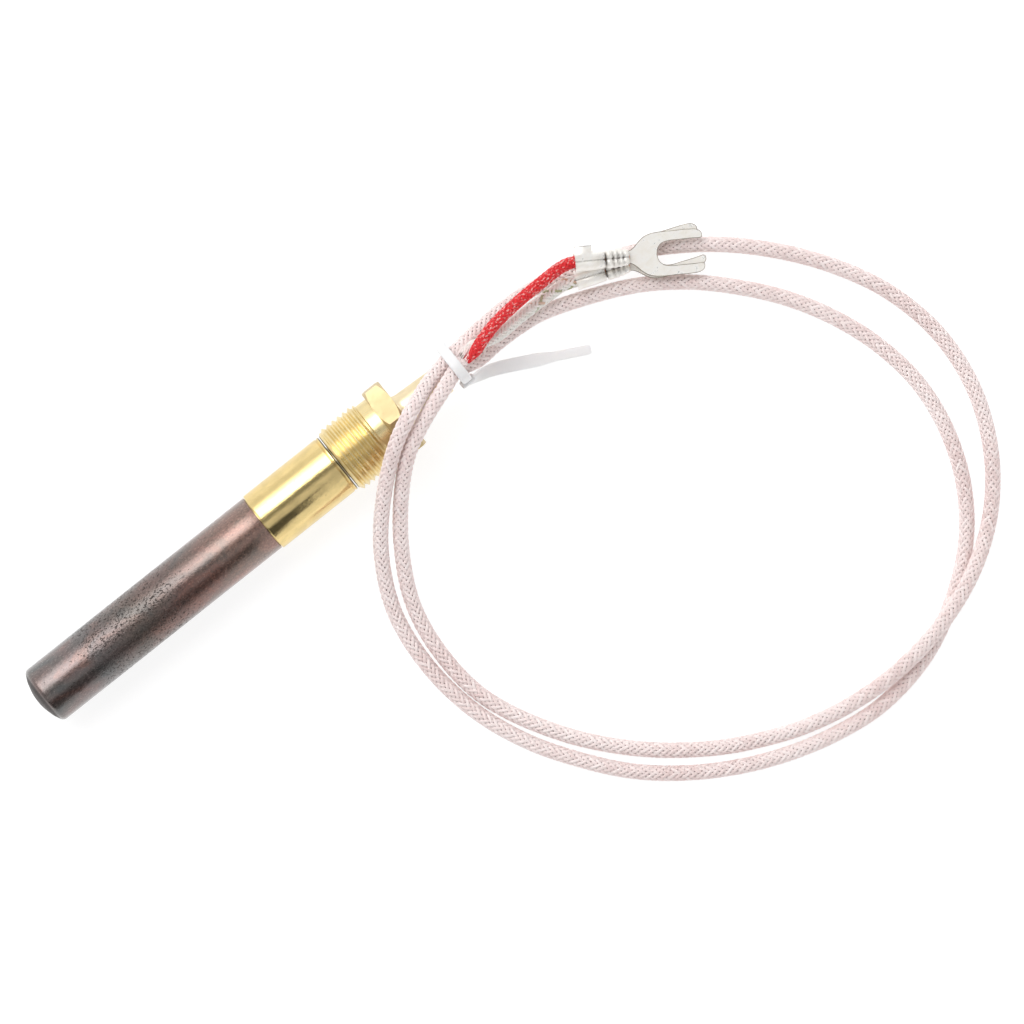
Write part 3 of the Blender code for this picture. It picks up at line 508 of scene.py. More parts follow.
def nylon_look():
    """Natural nylon, faintly cloudy, that lets some light in."""
    look = Look("clouded_nylon", subsurface_weight=0.45, subsurface_scale=0.0006, transmission_weight=0.12)
    look.set("Subsurface Radius", (1.0, 0.95, 0.9))
    cloud = look.noise((0.5, 0.5, 0.5), detail=3.0)
    look.set("Base Color", look.ramp(cloud, ((0.3, (0.92, 0.915, 0.93)), (0.7, (0.97, 0.965, 0.965)))))
    fine = look.noise((3.0, 3.0, 3.0), detail=3.0)
    look.set("Roughness", look.ranged(fine, 0.3, 0.7, 0.3, 0.44))
    look.set("Normal", look.bump(fine, 0.012))
    return look.material


def grained_look(name, dark, light, scale, depth, roughness, metallic=0.0):
    """A plain grained surface, for the pieces inside the probe."""
    look = Look(name, metallic=metallic)
    grain = look.noise(scale, detail=4.0, roughness=0.6)
    look.set("Base Color", look.ramp(grain, ((0.3, dark), (0.7, light))))
    look.set("Roughness", look.ranged(grain, 0.3, 0.7, roughness + 0.08, roughness - 0.08))
    look.set("Normal", look.bump(grain, depth))
    return look.material


steel = sheath_look()
# The last pair of numbers for the sleeve and the nut sets where painted shade darkens the faces at their gap.
sleeve_brass = brass_look(
    "drawn_brass", (0.84, 0.65, 0.3), 0.075, 0.007, 0.001, 0.45, (sleeve_high.x - 0.14, sleeve_high.x - 0.1)
)
nut_brass = brass_look(
    "machined_brass", (0.9, 0.74, 0.4), 0.26, 0.001, 0.005, 0.2, (nut_low.x + 0.04, nut_low.x - 0.02)
)
facet_brass = brass_look("milled_facets", (0.68, 0.54, 0.3), 0.38, 0.001, 0.014, 0.2)
neck_brass = brass_look("pale_brass", (0.9, 0.76, 0.5), 0.3, 0.003, 0.003, 0.1)
tinned = tinned_look()
cut_edge = cut_edge_look()
nylon = nylon_look()
pink_yarn = yarn_look(
    "pink_glass_yarn", (0.7, 0.48, 0.46), (0.99, 0.86, 0.84), (1.0, 0.96, 0.96), 0.55, 0.12, 0.06
)
# The lead braid's inner tube: painted shade seen through the gaps between its bundles.
pink_gap_shade = grained_look("lead_gap_shade", (0.27, 0.17, 0.17), (0.4, 0.28, 0.27), (2.0, 2.0, 2.0), 0.03, 0.9)
red_yarn = fleck_look("red_yarn", (0.9, 0.014, 0.022), (1.0, 0.62, 0.58), (0.62, 0.002, 0.006), 0.085)
CORE_WHITE = (0.96, 0.94, 0.9)
white_yarn = yarn_look("natural_yarn", (0.76, 0.71, 0.62), CORE_WHITE, (0.98, 0.97, 0.94), 0.5, 0.12, 0.06)
TRACER_FADE = (55.0, 61.0, CORE_WHITE)
green_yarn = fleck_look(
    "green_tracer", (0.5, 0.52, 0.32), (0.8, 0.78, 0.6), (0.34, 0.34, 0.18), 0.0, TRACER_FADE
)
brown_yarn = fleck_look(
    "brown_tracer", (0.76, 0.55, 0.42), (0.88, 0.74, 0.62), (0.58, 0.36, 0.26), 0.0, TRACER_FADE
)
# The cores' inner tubes: painted shade in the gaps between their bundles. The same looks serve the wires
# inside the head.
dark_red = grained_look("red_core_inside", (0.25, 0.0, 0.0), (0.42, 0.005, 0.008), (3.0, 3.0, 3.0), 0.02, 0.8)
dull_white = grained_look(
    "natural_core_inside", (0.62, 0.57, 0.48), (0.78, 0.74, 0.66), (3.0, 3.0, 3.0), 0.02, 0.8
)
strand_copper = grained_look("copper", (0.62, 0.28, 0.15), (0.9, 0.5, 0.32), (0.6, 8.0, 8.0), 0.01, 0.3, 1.0)
alloy = grained_look(
    "couple_alloy", (0.36, 0.32, 0.27), (0.62, 0.56, 0.48), (0.4, 9.0, 9.0), 0.005, 0.36, 1.0
)
ceramic = grained_look("ceramic", (0.78, 0.74, 0.66), (0.9, 0.87, 0.8), (1.2, 1.2, 1.2), 0.02, 0.6)
fibre = grained_look("pressed_fibre", (0.62, 0.58, 0.5), (0.9, 0.88, 0.83), (0.8, 3.0, 3.0), 0.06, 0.88)
cement = grained_look("cement", (0.42, 0.38, 0.33), (0.7, 0.66, 0.6), (2.5, 2.5, 2.5), 0.06, 0.9)


# ---- Mesh helpers. ----
def faced_outward(mesh):
    """Turns every face of a closed mesh to look outward."""
    shape = bmesh.new()
    shape.from_mesh(mesh)
    bmesh.ops.recalc_face_normals(shape, faces=shape.faces[:])
    shape.to_mesh(mesh)
    shape.free()


def mesh_object(
    name, vertices, faces, looks, uvs=None, tones=None, slots=None, smooth_angle=40.0, mixed_faces=False
):
    """A smooth-shaded object from points in mm, with any corner UVs, point tones and face material numbers.

    mixed_faces says that faces is a list of faces with any number of sides, which are then turned outward.
    """
    mesh = bpy.data.meshes.new(name)
    points = (np.asarray(vertices, float) * MM).tolist()
    mesh.from_pydata(points, [], faces if mixed_faces else faces.tolist())
    if mixed_faces:
        faced_outward(mesh)
    for look in looks:
        mesh.materials.append(look)
    if uvs is not None:
        layer = mesh.uv_layers.new(name="fibres")
        layer.uv.foreach_set("vector", np.asarray(uvs, np.float32).ravel())
    if tones is not None:
        attribute = mesh.attributes.new("tone", "FLOAT", "POINT")
        attribute.data.foreach_set("value", np.asarray(tones, np.float32))
    if slots is not None:
        mesh.polygons.foreach_set("material_index", np.asarray(slots, np.int32))
    mesh.shade_smooth()
    mesh.set_sharp_from_angle(angle=math.radians(smooth_angle))
    return linked(name, mesh)


def grid_faces(rows, columns, start=0, wrap_rows=False, wrap_columns=True):
    """Quads of a grid of points, row by row, as an array of point numbers."""
    row = np.arange(rows if wrap_rows else rows - 1)
    column = np.arange(columns if wrap_columns else columns - 1)
    row, column = np.meshgrid(row, column, indexing="ij")
    after_row = (row + 1) % rows
    after_column = (column + 1) % columns
    corners = (
        row * columns + column,
        row * columns + after_column,
        after_row * columns + after_column,
        after_row * columns + column,
    )
    return start + np.stack(corners, axis=-1).reshape(-1, 4)


def filleted(points, steps=4):
    """A closed profile of (x, radius, fillet) corners, with its corners rounded."""
    profile = []
    for before, corner, after in zip(points[-1:] + points[:-1], points, points[1:] + points[:1]):
        here = Vector(corner[:2])
        fillet = corner[2]
        if not fillet:
            profile.append(here)
            continue
        start = here + (Vector(before[:2]) - here).normalized() * fillet
        stop = here + (Vector(after[:2]) - here).normalized() * fillet
        for step in range(steps + 1):
            share = step / steps
            profile.append(start.lerp(here, share).lerp(here.lerp(stop, share), share))
    return profile


def ring_at(x, radius, angles):
    """A ring of points about the head's axis."""
    y, z = radius * np.cos(angles), AXIS_HEIGHT + radius * np.sin(angles)
    return np.stack([np.full(len(angles), x), y, z], axis=1)


def turned(name, profile, look, segments=144):
    """A ring turned about the head's axis, from a closed profile of (x, radius)."""
    angles = np.arange(segments) * math.tau / segments
    rings = [ring_at(x, radius, angles) for x, radius in profile]
    faces = grid_faces(len(profile), segments, wrap_rows=True)
    return mesh_object(name, np.concatenate(rings), faces, [look], smooth_angle=50.0)


def wobble(random, along, size, wavelength):
    """A slow pseudo-random wave along a line, at most about size."""
    total = np.zeros_like(along)
    for part in (1.0, 0.53, 0.29):
        phase = random.uniform(0.0, math.tau)
        total += np.sin(along * math.tau / (wavelength * part) + phase) * part
    return total * size / 1.82


def circles(first, second, angles):
    """A unit circle of points for each row of first and second, which are its axes."""
    return first[:, None] * np.cos(angles)[None, :, None] + second[:, None] * np.sin(angles)[None, :, None]


def spokes(first, second, angles):
    """Unit vectors at one angle for each row, measured from first towards second."""
    return first * np.cos(angles)[:, None] + second * np.sin(angles)[:, None]


RIBBON = ((-1.0, -0.13), (-0.5, 0.05), (0.5, 0.05), (1.0, -0.13))


def braided(name, line, radius, rows, pitch, looks, tracers=(), cover=0.8, taper=None):
    """A braid round a dark inner tube, painted shade seen through the gaps between bundles: rows of flat yarn
    bundles each way, two over and two under.

    looks are the yarn's, the inner tube's and the tracers'. tracers are the yarns with a look of their own.
    taper gives the radius as a share of the full one along the line. Returns the object.
    """
    random = np.random.default_rng(SEED + len(line))
    tangents, across, aside = carried_frames(line)
    count = len(line)
    run = np.arange(count) * np.linalg.norm(line[1] - line[0])
    share = np.ones(count) if taper is None else taper
    lift = 0.07 * radius
    middle = radius - lift - 0.05
    points, faces, uvs, tones, slots = [], [], [], [], []
    start = 0
    for way in (1, -1):
        for yarn in range(rows):
            phase = (2 * rows * run / pitch * way + 2 * yarn) / 4
            wave = np.tanh(2.2 * np.cos(math.tau * (phase - 0.125))) / math.tanh(2.2) * way
            angle = way * math.tau * run / pitch + math.tau * yarn / rows
            angle = angle + wobble(random, run, 0.05, 9.0)
            half = math.pi / rows * cover * (1.0 + wobble(random, run, 0.07, 5.0))
            height = wobble(random, run, 0.012, 3.0)
            shade = random.uniform(-0.5, 0.5) + wobble(random, run, 0.3, 11.0)
            strip = []
            for sideways, crown in RIBBON:
                turn = angle + half * sideways
                reach = (middle + lift * wave + crown * radius / LEAD_RADIUS + height) * share
                strip.append(line + spokes(across, aside, turn) * reach[:, None])
            points.append(np.stack(strip, axis=1).reshape(-1, 3))
            strip_faces = grid_faces(count, len(RIBBON), start, wrap_columns=False)
            if way < 0:
                strip_faces = strip_faces[:, ::-1]
            faces.append(strip_faces)
            local = strip_faces - start
            offset = (local % len(RIBBON)) / 3 + yarn * 1.7 + way * 31.0
            uvs.append(np.stack([run[local // len(RIBBON)], offset], axis=-1))
            tones.append(np.repeat(shade, len(RIBBON)))
            slots.append(np.full(len(strip_faces), tracers.get((way, yarn), 0) if tracers else 0))
            start += count * len(RIBBON)
    # The inner tube, in its darker look, is painted shade between the bundles.
    sides = 10
    turns = np.arange(sides) * math.tau / sides
    picked = np.arange(0, count, 4)
    if picked[-1] != count - 1:
        picked = np.append(picked, count - 1)
    inner = (middle - 2.1 * lift) * share[picked]
    ring = circles(across[picked], aside[picked], turns)
    points.append((line[picked][:, None] + ring * inner[:, None, None]).reshape(-1, 3))
    tube_faces = grid_faces(len(picked), sides, start)
    faces.append(tube_faces)
    uvs.append(np.zeros((len(tube_faces), 4, 2)))
    tones.append(np.zeros(len(picked) * sides))
    slots.append(np.full(len(tube_faces), 1))
    return mesh_object(
        name,
        np.concatenate(points),
        np.concatenate(faces),
        looks,
        uvs=np.concatenate(uvs),
        tones=np.concatenate(tones),
        slots=np.concatenate(slots),
        smooth_angle=80.0,
    )


# ---- The lead: a braided glass jacket. ----
LEAD_ROWS = 8
LEAD_PITCH = 8.8
lead_line = smooth_route(LEAD_ROUTE, LEAD_STEP)
lead = braided("lead_braid", lead_line, LEAD_RADIUS, LEAD_ROWS, LEAD_PITCH, [pink_yarn, pink_gap_shade])
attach(lead, HEAD_BODY)
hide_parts("lead_cable")


FRAY_COUNT = 30
FRAY_STEPS = 7
FRAY_RADIUS = 0.07


def jacket_fray():
    """Loose ends of the jacket's yarns, lying over the first millimetres of the cores."""
    random = np.random.default_rng(SEED)
    way = lead_line[-1] - lead_line[-2]
    way /= np.linalg.norm(way)
    side = np.cross(way, (0.0, 0.0, 1.0))
    side /= np.linalg.norm(side)
    up = np.cross(side, way)
    points, faces, tones = [], [], []
    for number in range(FRAY_COUNT):
        turn = math.tau * number / FRAY_COUNT + random.uniform(-0.1, 0.1)
        spread = random.uniform(0.05, 0.4)
        swirl = random.uniform(-0.5, 0.5)
        length = random.uniform(1.2, 4.2)
        share = np.linspace(0.0, 1.0, FRAY_STEPS)
        reach = 1.05 + spread * share - 0.25 * share * share
        angle = turn + swirl * share
        line = lead_line[-1] + way * (length * share - 0.5)[:, None]
        line = line + spokes(side, up, angle) * reach[:, None]
        _, first, second = carried_frames(line)
        thin = FRAY_RADIUS * (1.0 - 0.7 * share)
        ring = np.arange(4) * math.tau / 4
        circle = circles(first, second, ring)
        faces.append(grid_faces(FRAY_STEPS, 4, len(points) * FRAY_STEPS * 4))
        points.append((line[:, None] + circle * thin[:, None, None]).reshape(-1, 3))
        tones.append(np.full(FRAY_STEPS * 4, random.uniform(-0.2, 0.8)))
    points, faces, tones = (np.concatenate(part) for part in (points, faces, tones))
    return mesh_object("jacket_fray", points, faces, [pink_yarn], tones=tones)


fray = jacket_fray()
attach(fray, HEAD_BODY)


# ---- The cores: finer braids, gripped and stripped in the terminals, where bare strands go on. ----
CORE_ROWS = 8
CORE_PITCH = 6.8
STRAND_COUNT = 7
STRAND_RADIUS = 0.12
STRAND_SIDES = 8
JACKET_END_LENGTH = 2.6
GRIP_IN_LENGTH = 3.4


def joined(name, objects):
    """One object from several, which are used up."""
    with bpy.context.temp_override(active_object=objects[0], selected_editable_objects=objects):
        bpy.ops.object.join()
    objects[0].name = name
    return objects[0]


def strands(name, matrix):
    """The bare conductor: a bundle of twisted strands through the crimp."""
    line = smooth_route([matrix @ Vector(point) for point in CONDUCTOR_ROUTE], 0.2)
    tangents, across, aside = carried_frames(line)
    run = np.arange(len(line)) * np.linalg.norm(line[1] - line[0])
    points, faces = [], []
    start = 0
    for strand in range(STRAND_COUNT):
        reach = 0.0 if strand == 0 else 2.05 * STRAND_RADIUS
        turn = run * 0.5 + math.tau * strand / (STRAND_COUNT - 1)
        centre = line + spokes(across, aside, turn) * reach
        sides = np.arange(STRAND_SIDES) * math.tau / STRAND_SIDES
        ring = circles(across, aside, sides)
        points.append((centre[:, None] + ring * STRAND_RADIUS).reshape(-1, 3))
        faces.append(grid_faces(len(line), STRAND_SIDES, start))
        start += len(line) * STRAND_SIDES
    return mesh_object(name, np.concatenate(points), np.concatenate(faces), [strand_copper]), line


def core(name, route, matrix, looks, tracers, nodes):
    """A braided core from the jacket's end to its terminal with its bare strands, and its whole path."""
    line = smooth_route(route, CORE_STEP)
    run = np.arange(len(line)) * CORE_STEP
    taper = np.interp(run, (0.0, JACKET_END_LENGTH), (0.62, 1.0))
    taper = np.minimum(taper, np.interp(run[-1] - run, (0.0, GRIP_IN_LENGTH), (0.84, 1.0)))
    sleeve = braided(name, line, CORE_RADIUS, CORE_ROWS, CORE_PITCH, looks, tracers, cover=0.84, taper=taper)
    bare, bare_line = strands(name + "_strands", matrix)
    whole = joined(name, [sleeve, bare])
    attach(whole, HEAD_BODY)
    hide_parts(*nodes)
    return whole, np.concatenate([line, bare_line[bare_line[:, 0] > line[-1, 0]]])


red_core, red_path = core(
    "red_core_braid",
    RED_ROUTE,
    RED_TERMINAL,
    [red_yarn, dark_red],
    {},
    ("red_core", "conductor_red"),
)
white_core, white_path = core(
    "white_core_braid",
    WHITE_ROUTE,
    WHITE_TERMINAL,
    [white_yarn, dull_white, green_yarn, brown_yarn],
    {(1, 1): 2, (1, 5): 3, (-1, 3): 2},
    ("white_core", "conductor_white"),
)


# ---- Fork terminals: a flat fork, a curled grip round the core and a dented crimp round the strands. ----
PLATE_THICKNESS = 0.5
FORK_HALF_OUTLINE = (
    (0.05, 0.9),
    (5.0, 0.92),
    (8.6, 0.95),
    (9.4, 1.3),
    (10.6, 2.4),
    (11.4, 3.0),
    (12.4, 3.35),
    (13.6, 3.5),
    (16.0, 3.5),
    (18.4, 3.5),
    (19.8, 3.35),
    (20.45, 2.9),
    (20.6, 2.3),
    (20.45, 1.98),
    (19.0, 1.97),
    (17.0, 1.95),
    (15.1, 1.92),
    (14.1, 1.65),
    (13.45, 0.98),
    (13.2, 0.0),
)
GRIP_STATIONS = (
    # x, half width, height, dip of the seam, painted shade in the crease
    (0.0, 1.58, 2.95, 0.02, 0.1),
    (0.35, 1.52, 2.98, 0.05, 0.0),
    (1.3, 1.5, 2.95, 0.07, 0.0),
    (2.4, 1.5, 3.0, 0.09, 0.0),
    (3.5, 1.46, 2.85, 0.1, 0.1),
    (4.2, 1.42, 2.6, 0.14, 0.2),
    (4.75, 1.36, 2.3, 0.16, 0.5),
)
CRIMP_STATIONS = (
    (4.95, 1.26, 1.75, 0.08, 0.8),
    (5.25, 1.42, 2.05, 0.12, 0.2),
    (5.75, 1.46, 2.08, 0.14, 0.0),
    (6.15, 1.4, 1.72, 0.16, 0.7),
    (6.5, 1.46, 2.0, 0.14, 0.0),
    (6.95, 1.36, 1.68, 0.16, 0.75),
    (7.35, 1.4, 1.96, 0.14, 0.0),
    (7.8, 1.28, 1.68, 0.14, 0.6),
    (8.2, 1.26, 1.85, 0.16, 0.05),
    (8.7, 1.05, 1.4, 0.08, 0.3),
)
BARREL_WALL = 0.32
BARREL_SIDES = 72
SEAM_WIDTH = 0.42
SEAM_CUT = 0.1
SEAM_CUT_WIDTH = 0.075
CREASE_WIDTH = 0.85
WING_OUTLINE = ((0.5, 2.72), (1.0, 2.86), (1.5, 2.8), (2.0, 2.66), (2.4, 2.6))
WING_LENGTH = 2.7
WING_THICKNESS = 0.3
WING_CHAMFER = 0.1
WING_CHAMFER_LENGTH = 0.12
WING_END_SHADE = 0.9
FORK_STEP = 0.28
BARREL_STEP = 0.12
WING_STEP = 0.15
FORK_ROUNDING = 0.1
SEAM_CUT_SHADE = 0.5


def evaluated(made, name):
    """The object with its modifiers worked into a new mesh. The old object is used up."""
    mesh = bpy.data.meshes.new_from_object(made.evaluated_get(bpy.context.evaluated_depsgraph_get()))
    plain = linked(name, mesh)
    plain.matrix_world = made.matrix_world
    bpy.data.objects.remove(made, do_unlink=True)
    return plain


def rounded_edges(made, width, segments=3, angle=30.0):
    edge = made.modifiers.new("rounding", "BEVEL")
    edge.width = width * MM
    edge.segments = segments
    edge.limit_method = "ANGLE"
    edge.angle_limit = math.radians(angle)
    edge.harden_normals = True
    if len(made.data.materials) > 1:
        edge.material = 1
    return made


def plate(name, outline, bottom, top, look, edge_look=None):
    """A flat plate from an outline in mm, with a look of its own for its cut edges if wanted."""
    count = len(outline)
    points = [(x, y, z) for z in (bottom, top) for x, y in outline]
    faces = [list(range(count))[::-1], list(range(count, 2 * count))]
    for index in range(count):
        after = (index + 1) % count
        faces.append([index, after, count + after, count + index])
    looks = [look, edge_look] if edge_look else [look]
    slots = [0, 0] + [len(looks) - 1] * count
    return mesh_object(name, points, faces, looks, slots=slots, mixed_faces=True)


def barrel(name, stations, look):
    """A thick-walled barrel lofted through its stations, with a seam pressed in on top and painted shade in
    the seam's cut and the creases.
    """
    table = np.array(stations)
    route = smooth_route(table[:, :3], BARREL_STEP)
    dips = np.interp(route[:, 0], table[:, 0], table[:, 3])
    creases = np.interp(route[:, 0], table[:, 0], table[:, 4])
    turns = -math.pi / 2 + np.arange(BARREL_SIDES) * math.tau / BARREL_SIDES
    off_seam = np.abs(np.angle(np.exp(1j * (turns - math.pi / 2))))
    dip_shape = np.exp(-((off_seam / SEAM_WIDTH) ** 2))
    cut_shape = np.exp(-((off_seam / SEAM_CUT_WIDTH) ** 2))
    crease_shape = np.exp(-((off_seam / CREASE_WIDTH) ** 2))
    outer, inner, outer_tones, inner_tones = [], [], [], []
    for (x, half, height), dip, crease in zip(route, dips, creases):
        for wall, shell, tones in ((0.0, outer, outer_tones), (BARREL_WALL, inner, inner_tones)):
            y = (half - wall) * np.cos(turns)
            z = height / 2 + (height / 2 - wall) * np.sin(turns)
            z = z - height * dip * dip_shape - SEAM_CUT * cut_shape
            z = np.maximum(z, wall)
            shell.append(np.stack([np.full(BARREL_SIDES, x), y, z], axis=1))
            # Painted shade in the seam's cut and in the creases, carried by the point tones.
            tones.append(np.clip(SEAM_CUT_SHADE * cut_shape + crease * crease_shape, 0.0, 1.0))
    rings = np.array(outer + inner[::-1])
    tones = np.concatenate(outer_tones + inner_tones[::-1])
    faces = grid_faces(len(rings), BARREL_SIDES, wrap_rows=True)
    return mesh_object(name, rings.reshape(-1, 3), faces, [look], tones=tones, smooth_angle=55.0)


def wing(name, look):
    """The grip's ear that stands open: a curved tab off the top of the barrel."""
    line = smooth_route([(0.0, y, z) for y, z in WING_OUTLINE], WING_STEP)
    lower, upper = [], []
    for x, inset in (
        (0.0, WING_CHAMFER),
        (WING_CHAMFER_LENGTH, 0.0),
        (WING_LENGTH - WING_CHAMFER_LENGTH, 0.0),
        (WING_LENGTH, WING_CHAMFER),
    ):
        lower.append(line + (x, 0.0, inset - WING_THICKNESS / 2))
        upper.append(line + (x, 0.0, WING_THICKNESS / 2 - inset))
    points = np.array(lower + upper[::-1])
    rows, columns = points.shape[:2]
    faces = grid_faces(rows, columns, wrap_rows=True, wrap_columns=False).tolist()
    faces.append([row * columns for row in range(rows)])
    faces.append([row * columns + columns - 1 for row in range(rows)][::-1])
    points = points.reshape(-1, 3)
    # Painted shade on the wing's far end.
    tones = np.where(points[:, 1] > WING_OUTLINE[-1][0] - WING_CHAMFER, WING_END_SHADE, 0.0)
    return mesh_object(name, points, faces, [look], tones=tones, smooth_angle=50.0, mixed_faces=True)


def terminal(name, matrix, node, wing_open):
    smooth = smooth_route([(x, y, 0.0) for x, y in FORK_HALF_OUTLINE], FORK_STEP)
    half = [(x, y) for x, y, _ in smooth]
    outline = [(x, -y) for x, y in half[:-1]] + [(x, y) for x, y in reversed(half)]
    fork = plate(name + "_fork", outline, 0.0, PLATE_THICKNESS, tinned, cut_edge)
    pieces = [evaluated(rounded_edges(fork, FORK_ROUNDING), name)]
    pieces.append(barrel(name + "_grip", GRIP_STATIONS, tinned))
    pieces.append(barrel(name + "_crimp", CRIMP_STATIONS, tinned))
    if wing_open:
        pieces.append(wing(name + "_wing", tinned))
    whole = joined(name, pieces)
    scale = Matrix.Scale(MM, 4)
    whole.data.transform(scale @ matrix @ scale.inverted())
    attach(whole, HEAD_BODY)
    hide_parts(node)
    return whole


red_terminal = terminal("red_fork_terminal", RED_TERMINAL, "fork_terminal_red", wing_open=True)
white_terminal = terminal("white_fork_terminal", WHITE_TERMINAL, "fork_terminal_white", wing_open=False)


# ---- Cable tie: a band round the three cords, its head below and its tail on the floor. ----
TIE_X = 43.1
TIE_CORDS = ((-0.25, 6.75), (1.9, 10.05), (0.0, 12.1))
TIE_LOOP_RADIUS = 2.2
TIE_LOOP_POINTS = 96
TIE_HALF_WIDTH = 0.85
TIE_HALF_THICKNESS = 0.35
TIE_HEAD_CENTRE = (43.1, -2.6, 6.3)
TIE_HEAD_SIZE = (2.6, 1.3, 2.4)
TIE_TAIL_ROUTE = (
    (43.1, -2.6, 6.0),
    (43.15, -2.7, 4.6),
    (43.7, -2.8, 3.4),
    (44.9, -2.95, 2.4),
    (46.6, -3.3, 1.7),
    (48.6, -4.1, 1.3),
    (51.0, -5.3, 1.05),
    (56.0, -7.85, 0.8),
    (61.4, -10.6, 0.7),
)
TIE_TAIL_HALF_WIDTHS = (0.85, 0.9, 1.0, 1.1, 1.1, 1.1, 0.8, 0.8, 0.8)
TIE_TAIL_STEP = 0.175
TIE_TAIL_TIP = (0.97, 0.9, 0.8, 0.66)
TIE_HEAD_ROUNDING = 0.35
TOOTH_PITCH = 0.7
TOOTH_DEPTH = 0.1
BAND_SECTION = (
    (-1.0, -0.55),
    (-0.86, -0.9),
    (-0.6, -1.0),
    (0.6, -1.0),
    (0.86, -0.9),
    (1.0, -0.55),
    (1.0, 0.55),
    (0.86, 0.9),
    (0.6, 1.0),
    (-0.6, 1.0),
    (-0.86, 0.9),
    (-1.0, 0.55),
)


def band(name, centres, across, outward, half_widths, thickness, closed):
    """A strap with rounded edges through the centres. Its inner face has fine teeth."""
    run = np.concatenate([[0.0], np.cumsum(np.linalg.norm(np.diff(centres, axis=0), axis=1))])
    tooth = np.abs((run / TOOTH_PITCH) % 1.0 - 0.5) * 2.0 * TOOTH_DEPTH
    rings = []
    for sideways, away in BAND_SECTION:
        push = thickness * away + (tooth if away == -1.0 else 0.0)
        push = np.broadcast_to(push, run.shape)
        rings.append(centres + across * (half_widths * sideways)[:, None] + outward * push[:, None])
    points = np.stack(rings, axis=1)
    rows, columns = points.shape[:2]
    faces = grid_faces(rows, columns, wrap_rows=closed).tolist()
    if not closed:
        faces.append(list(range(columns)))
        faces.append([(rows - 1) * columns + column for column in reversed(range(columns))])
    return mesh_object(name, points.reshape(-1, 3), faces, [nylon], smooth_angle=45.0, mixed_faces=True)


def tie_loop():
    angles = np.arange(TIE_LOOP_POINTS) * math.tau / TIE_LOOP_POINTS
    outward = np.stack([np.zeros_like(angles), np.cos(angles), np.sin(angles)], axis=1)
    cords = np.array([(TIE_X, y, z) for y, z in TIE_CORDS])
    nearest = cords[np.argmax(cords @ outward.T, axis=0)]
    centres = nearest + outward * TIE_LOOP_RADIUS
    across = np.tile((1.0, 0.0, 0.0), (TIE_LOOP_POINTS, 1))
    widths = np.full(TIE_LOOP_POINTS, TIE_HALF_WIDTH)
    return band("cable_tie_band", centres, across, outward, widths, TIE_HALF_THICKNESS, True)


def tie_tail():
    centres = smooth_route(TIE_TAIL_ROUTE, TIE_TAIL_STEP)
    along = np.gradient(centres, axis=0)
    along /= np.linalg.norm(along, axis=1)[:, None]
    share = np.linspace(0.0, 1.0, len(centres))
    end_way = along[-1]
    first, last = np.array((1.0, 0.0, 0.0)), np.array((-end_way[1], end_way[0], 0.0))
    blend = np.clip(share * 2.0, 0.0, 1.0)[:, None]
    across = first * (1.0 - blend) + last * blend
    across -= along * np.sum(across * along, axis=1)[:, None]
    across /= np.linalg.norm(across, axis=1)[:, None]
    outward = np.cross(along, across)
    widths = np.interp(share, np.linspace(0.0, 1.0, len(TIE_TAIL_HALF_WIDTHS)), TIE_TAIL_HALF_WIDTHS)
    widths[-len(TIE_TAIL_TIP) :] *= TIE_TAIL_TIP
    return band("cable_tie_tail", centres, across, outward, widths, TIE_HALF_THICKNESS, False)


def tie_head():
    """The head: a plain rounded block beside the band."""
    shape = bmesh.new()
    bmesh.ops.create_cube(shape, size=MM)
    bmesh.ops.scale(shape, vec=TIE_HEAD_SIZE, verts=shape.verts[:])
    bmesh.ops.translate(shape, vec=Vector(TIE_HEAD_CENTRE) * MM, verts=shape.verts[:])
    mesh = bpy.data.meshes.new("cable_tie_head")
    shape.to_mesh(mesh)
    shape.free()
    mesh.materials.append(nylon)
    block = rounded_edges(linked("cable_tie_head", mesh), TIE_HEAD_ROUNDING, segments=4)
    return evaluated(block, "cable_tie_head")


tie = joined("cable_tie_strap", [tie_loop(), tie_tail(), tie_head()])
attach(tie, HEAD_BODY)
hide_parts("cable_tie")


# ---- The head: sheath, sleeve and neck, turned finer than in CAD, with rounded edges. ----
SHEATH_DOME = (
    # depth from the tip, and radius
    (0.0, 0.0),
    (0.08, 1.25),
    (0.31, 2.3),
    (0.63, 3.4),
    (0.94, 4.06),
    (1.25, 4.6),
    (1.6, 4.84),
    (2.0, 4.9),
)
SHEATH_BORE = 4.5
DOME_STEP = 0.12


def sheath():
    """The sheath: a low dome with a rounded rim, then a straight tube, turned back in at its open end."""
    dome = smooth_route([(sheath_low.x + depth, radius, 0.0) for depth, radius in SHEATH_DOME], DOME_STEP)
    profile = [(x, max(radius, 0.01)) for x, radius, _ in dome]
    length = sheath_high.x - profile[-1][0]
    profile += [(profile[-1][0] + length * step / 12, SHEATH_RADIUS) for step in range(1, 12)]
    end = sheath_high.x
    profile += [(end - 0.1, SHEATH_RADIUS), (end - 0.03, SHEATH_RADIUS - 0.03), (end, SHEATH_RADIUS - 0.1)]
    profile += [(end, SHEATH_BORE), (sheath_low.x + 2.1, SHEATH_BORE), (sheath_low.x + 0.5, 0.01)]
    return turned("sheath", profile, steel)


SLEEVE_BORE = 3.95
SPIGOT_RADIUS = 4.38
SLEEVE_END_WALL = 2.3
SLEEVE_LIP = 0.5
SLEEVE_GROOVE = 0.16
NECK_BORE = 1.9
NECK_BODY_RADIUS = 2.95
NECK_FLANGE_RADIUS = 3.8
NECK_SHOULDER_RADIUS = 2.75
NECK_MOUTH_RADIUS = 2.42
FIT_GAP = 0.1


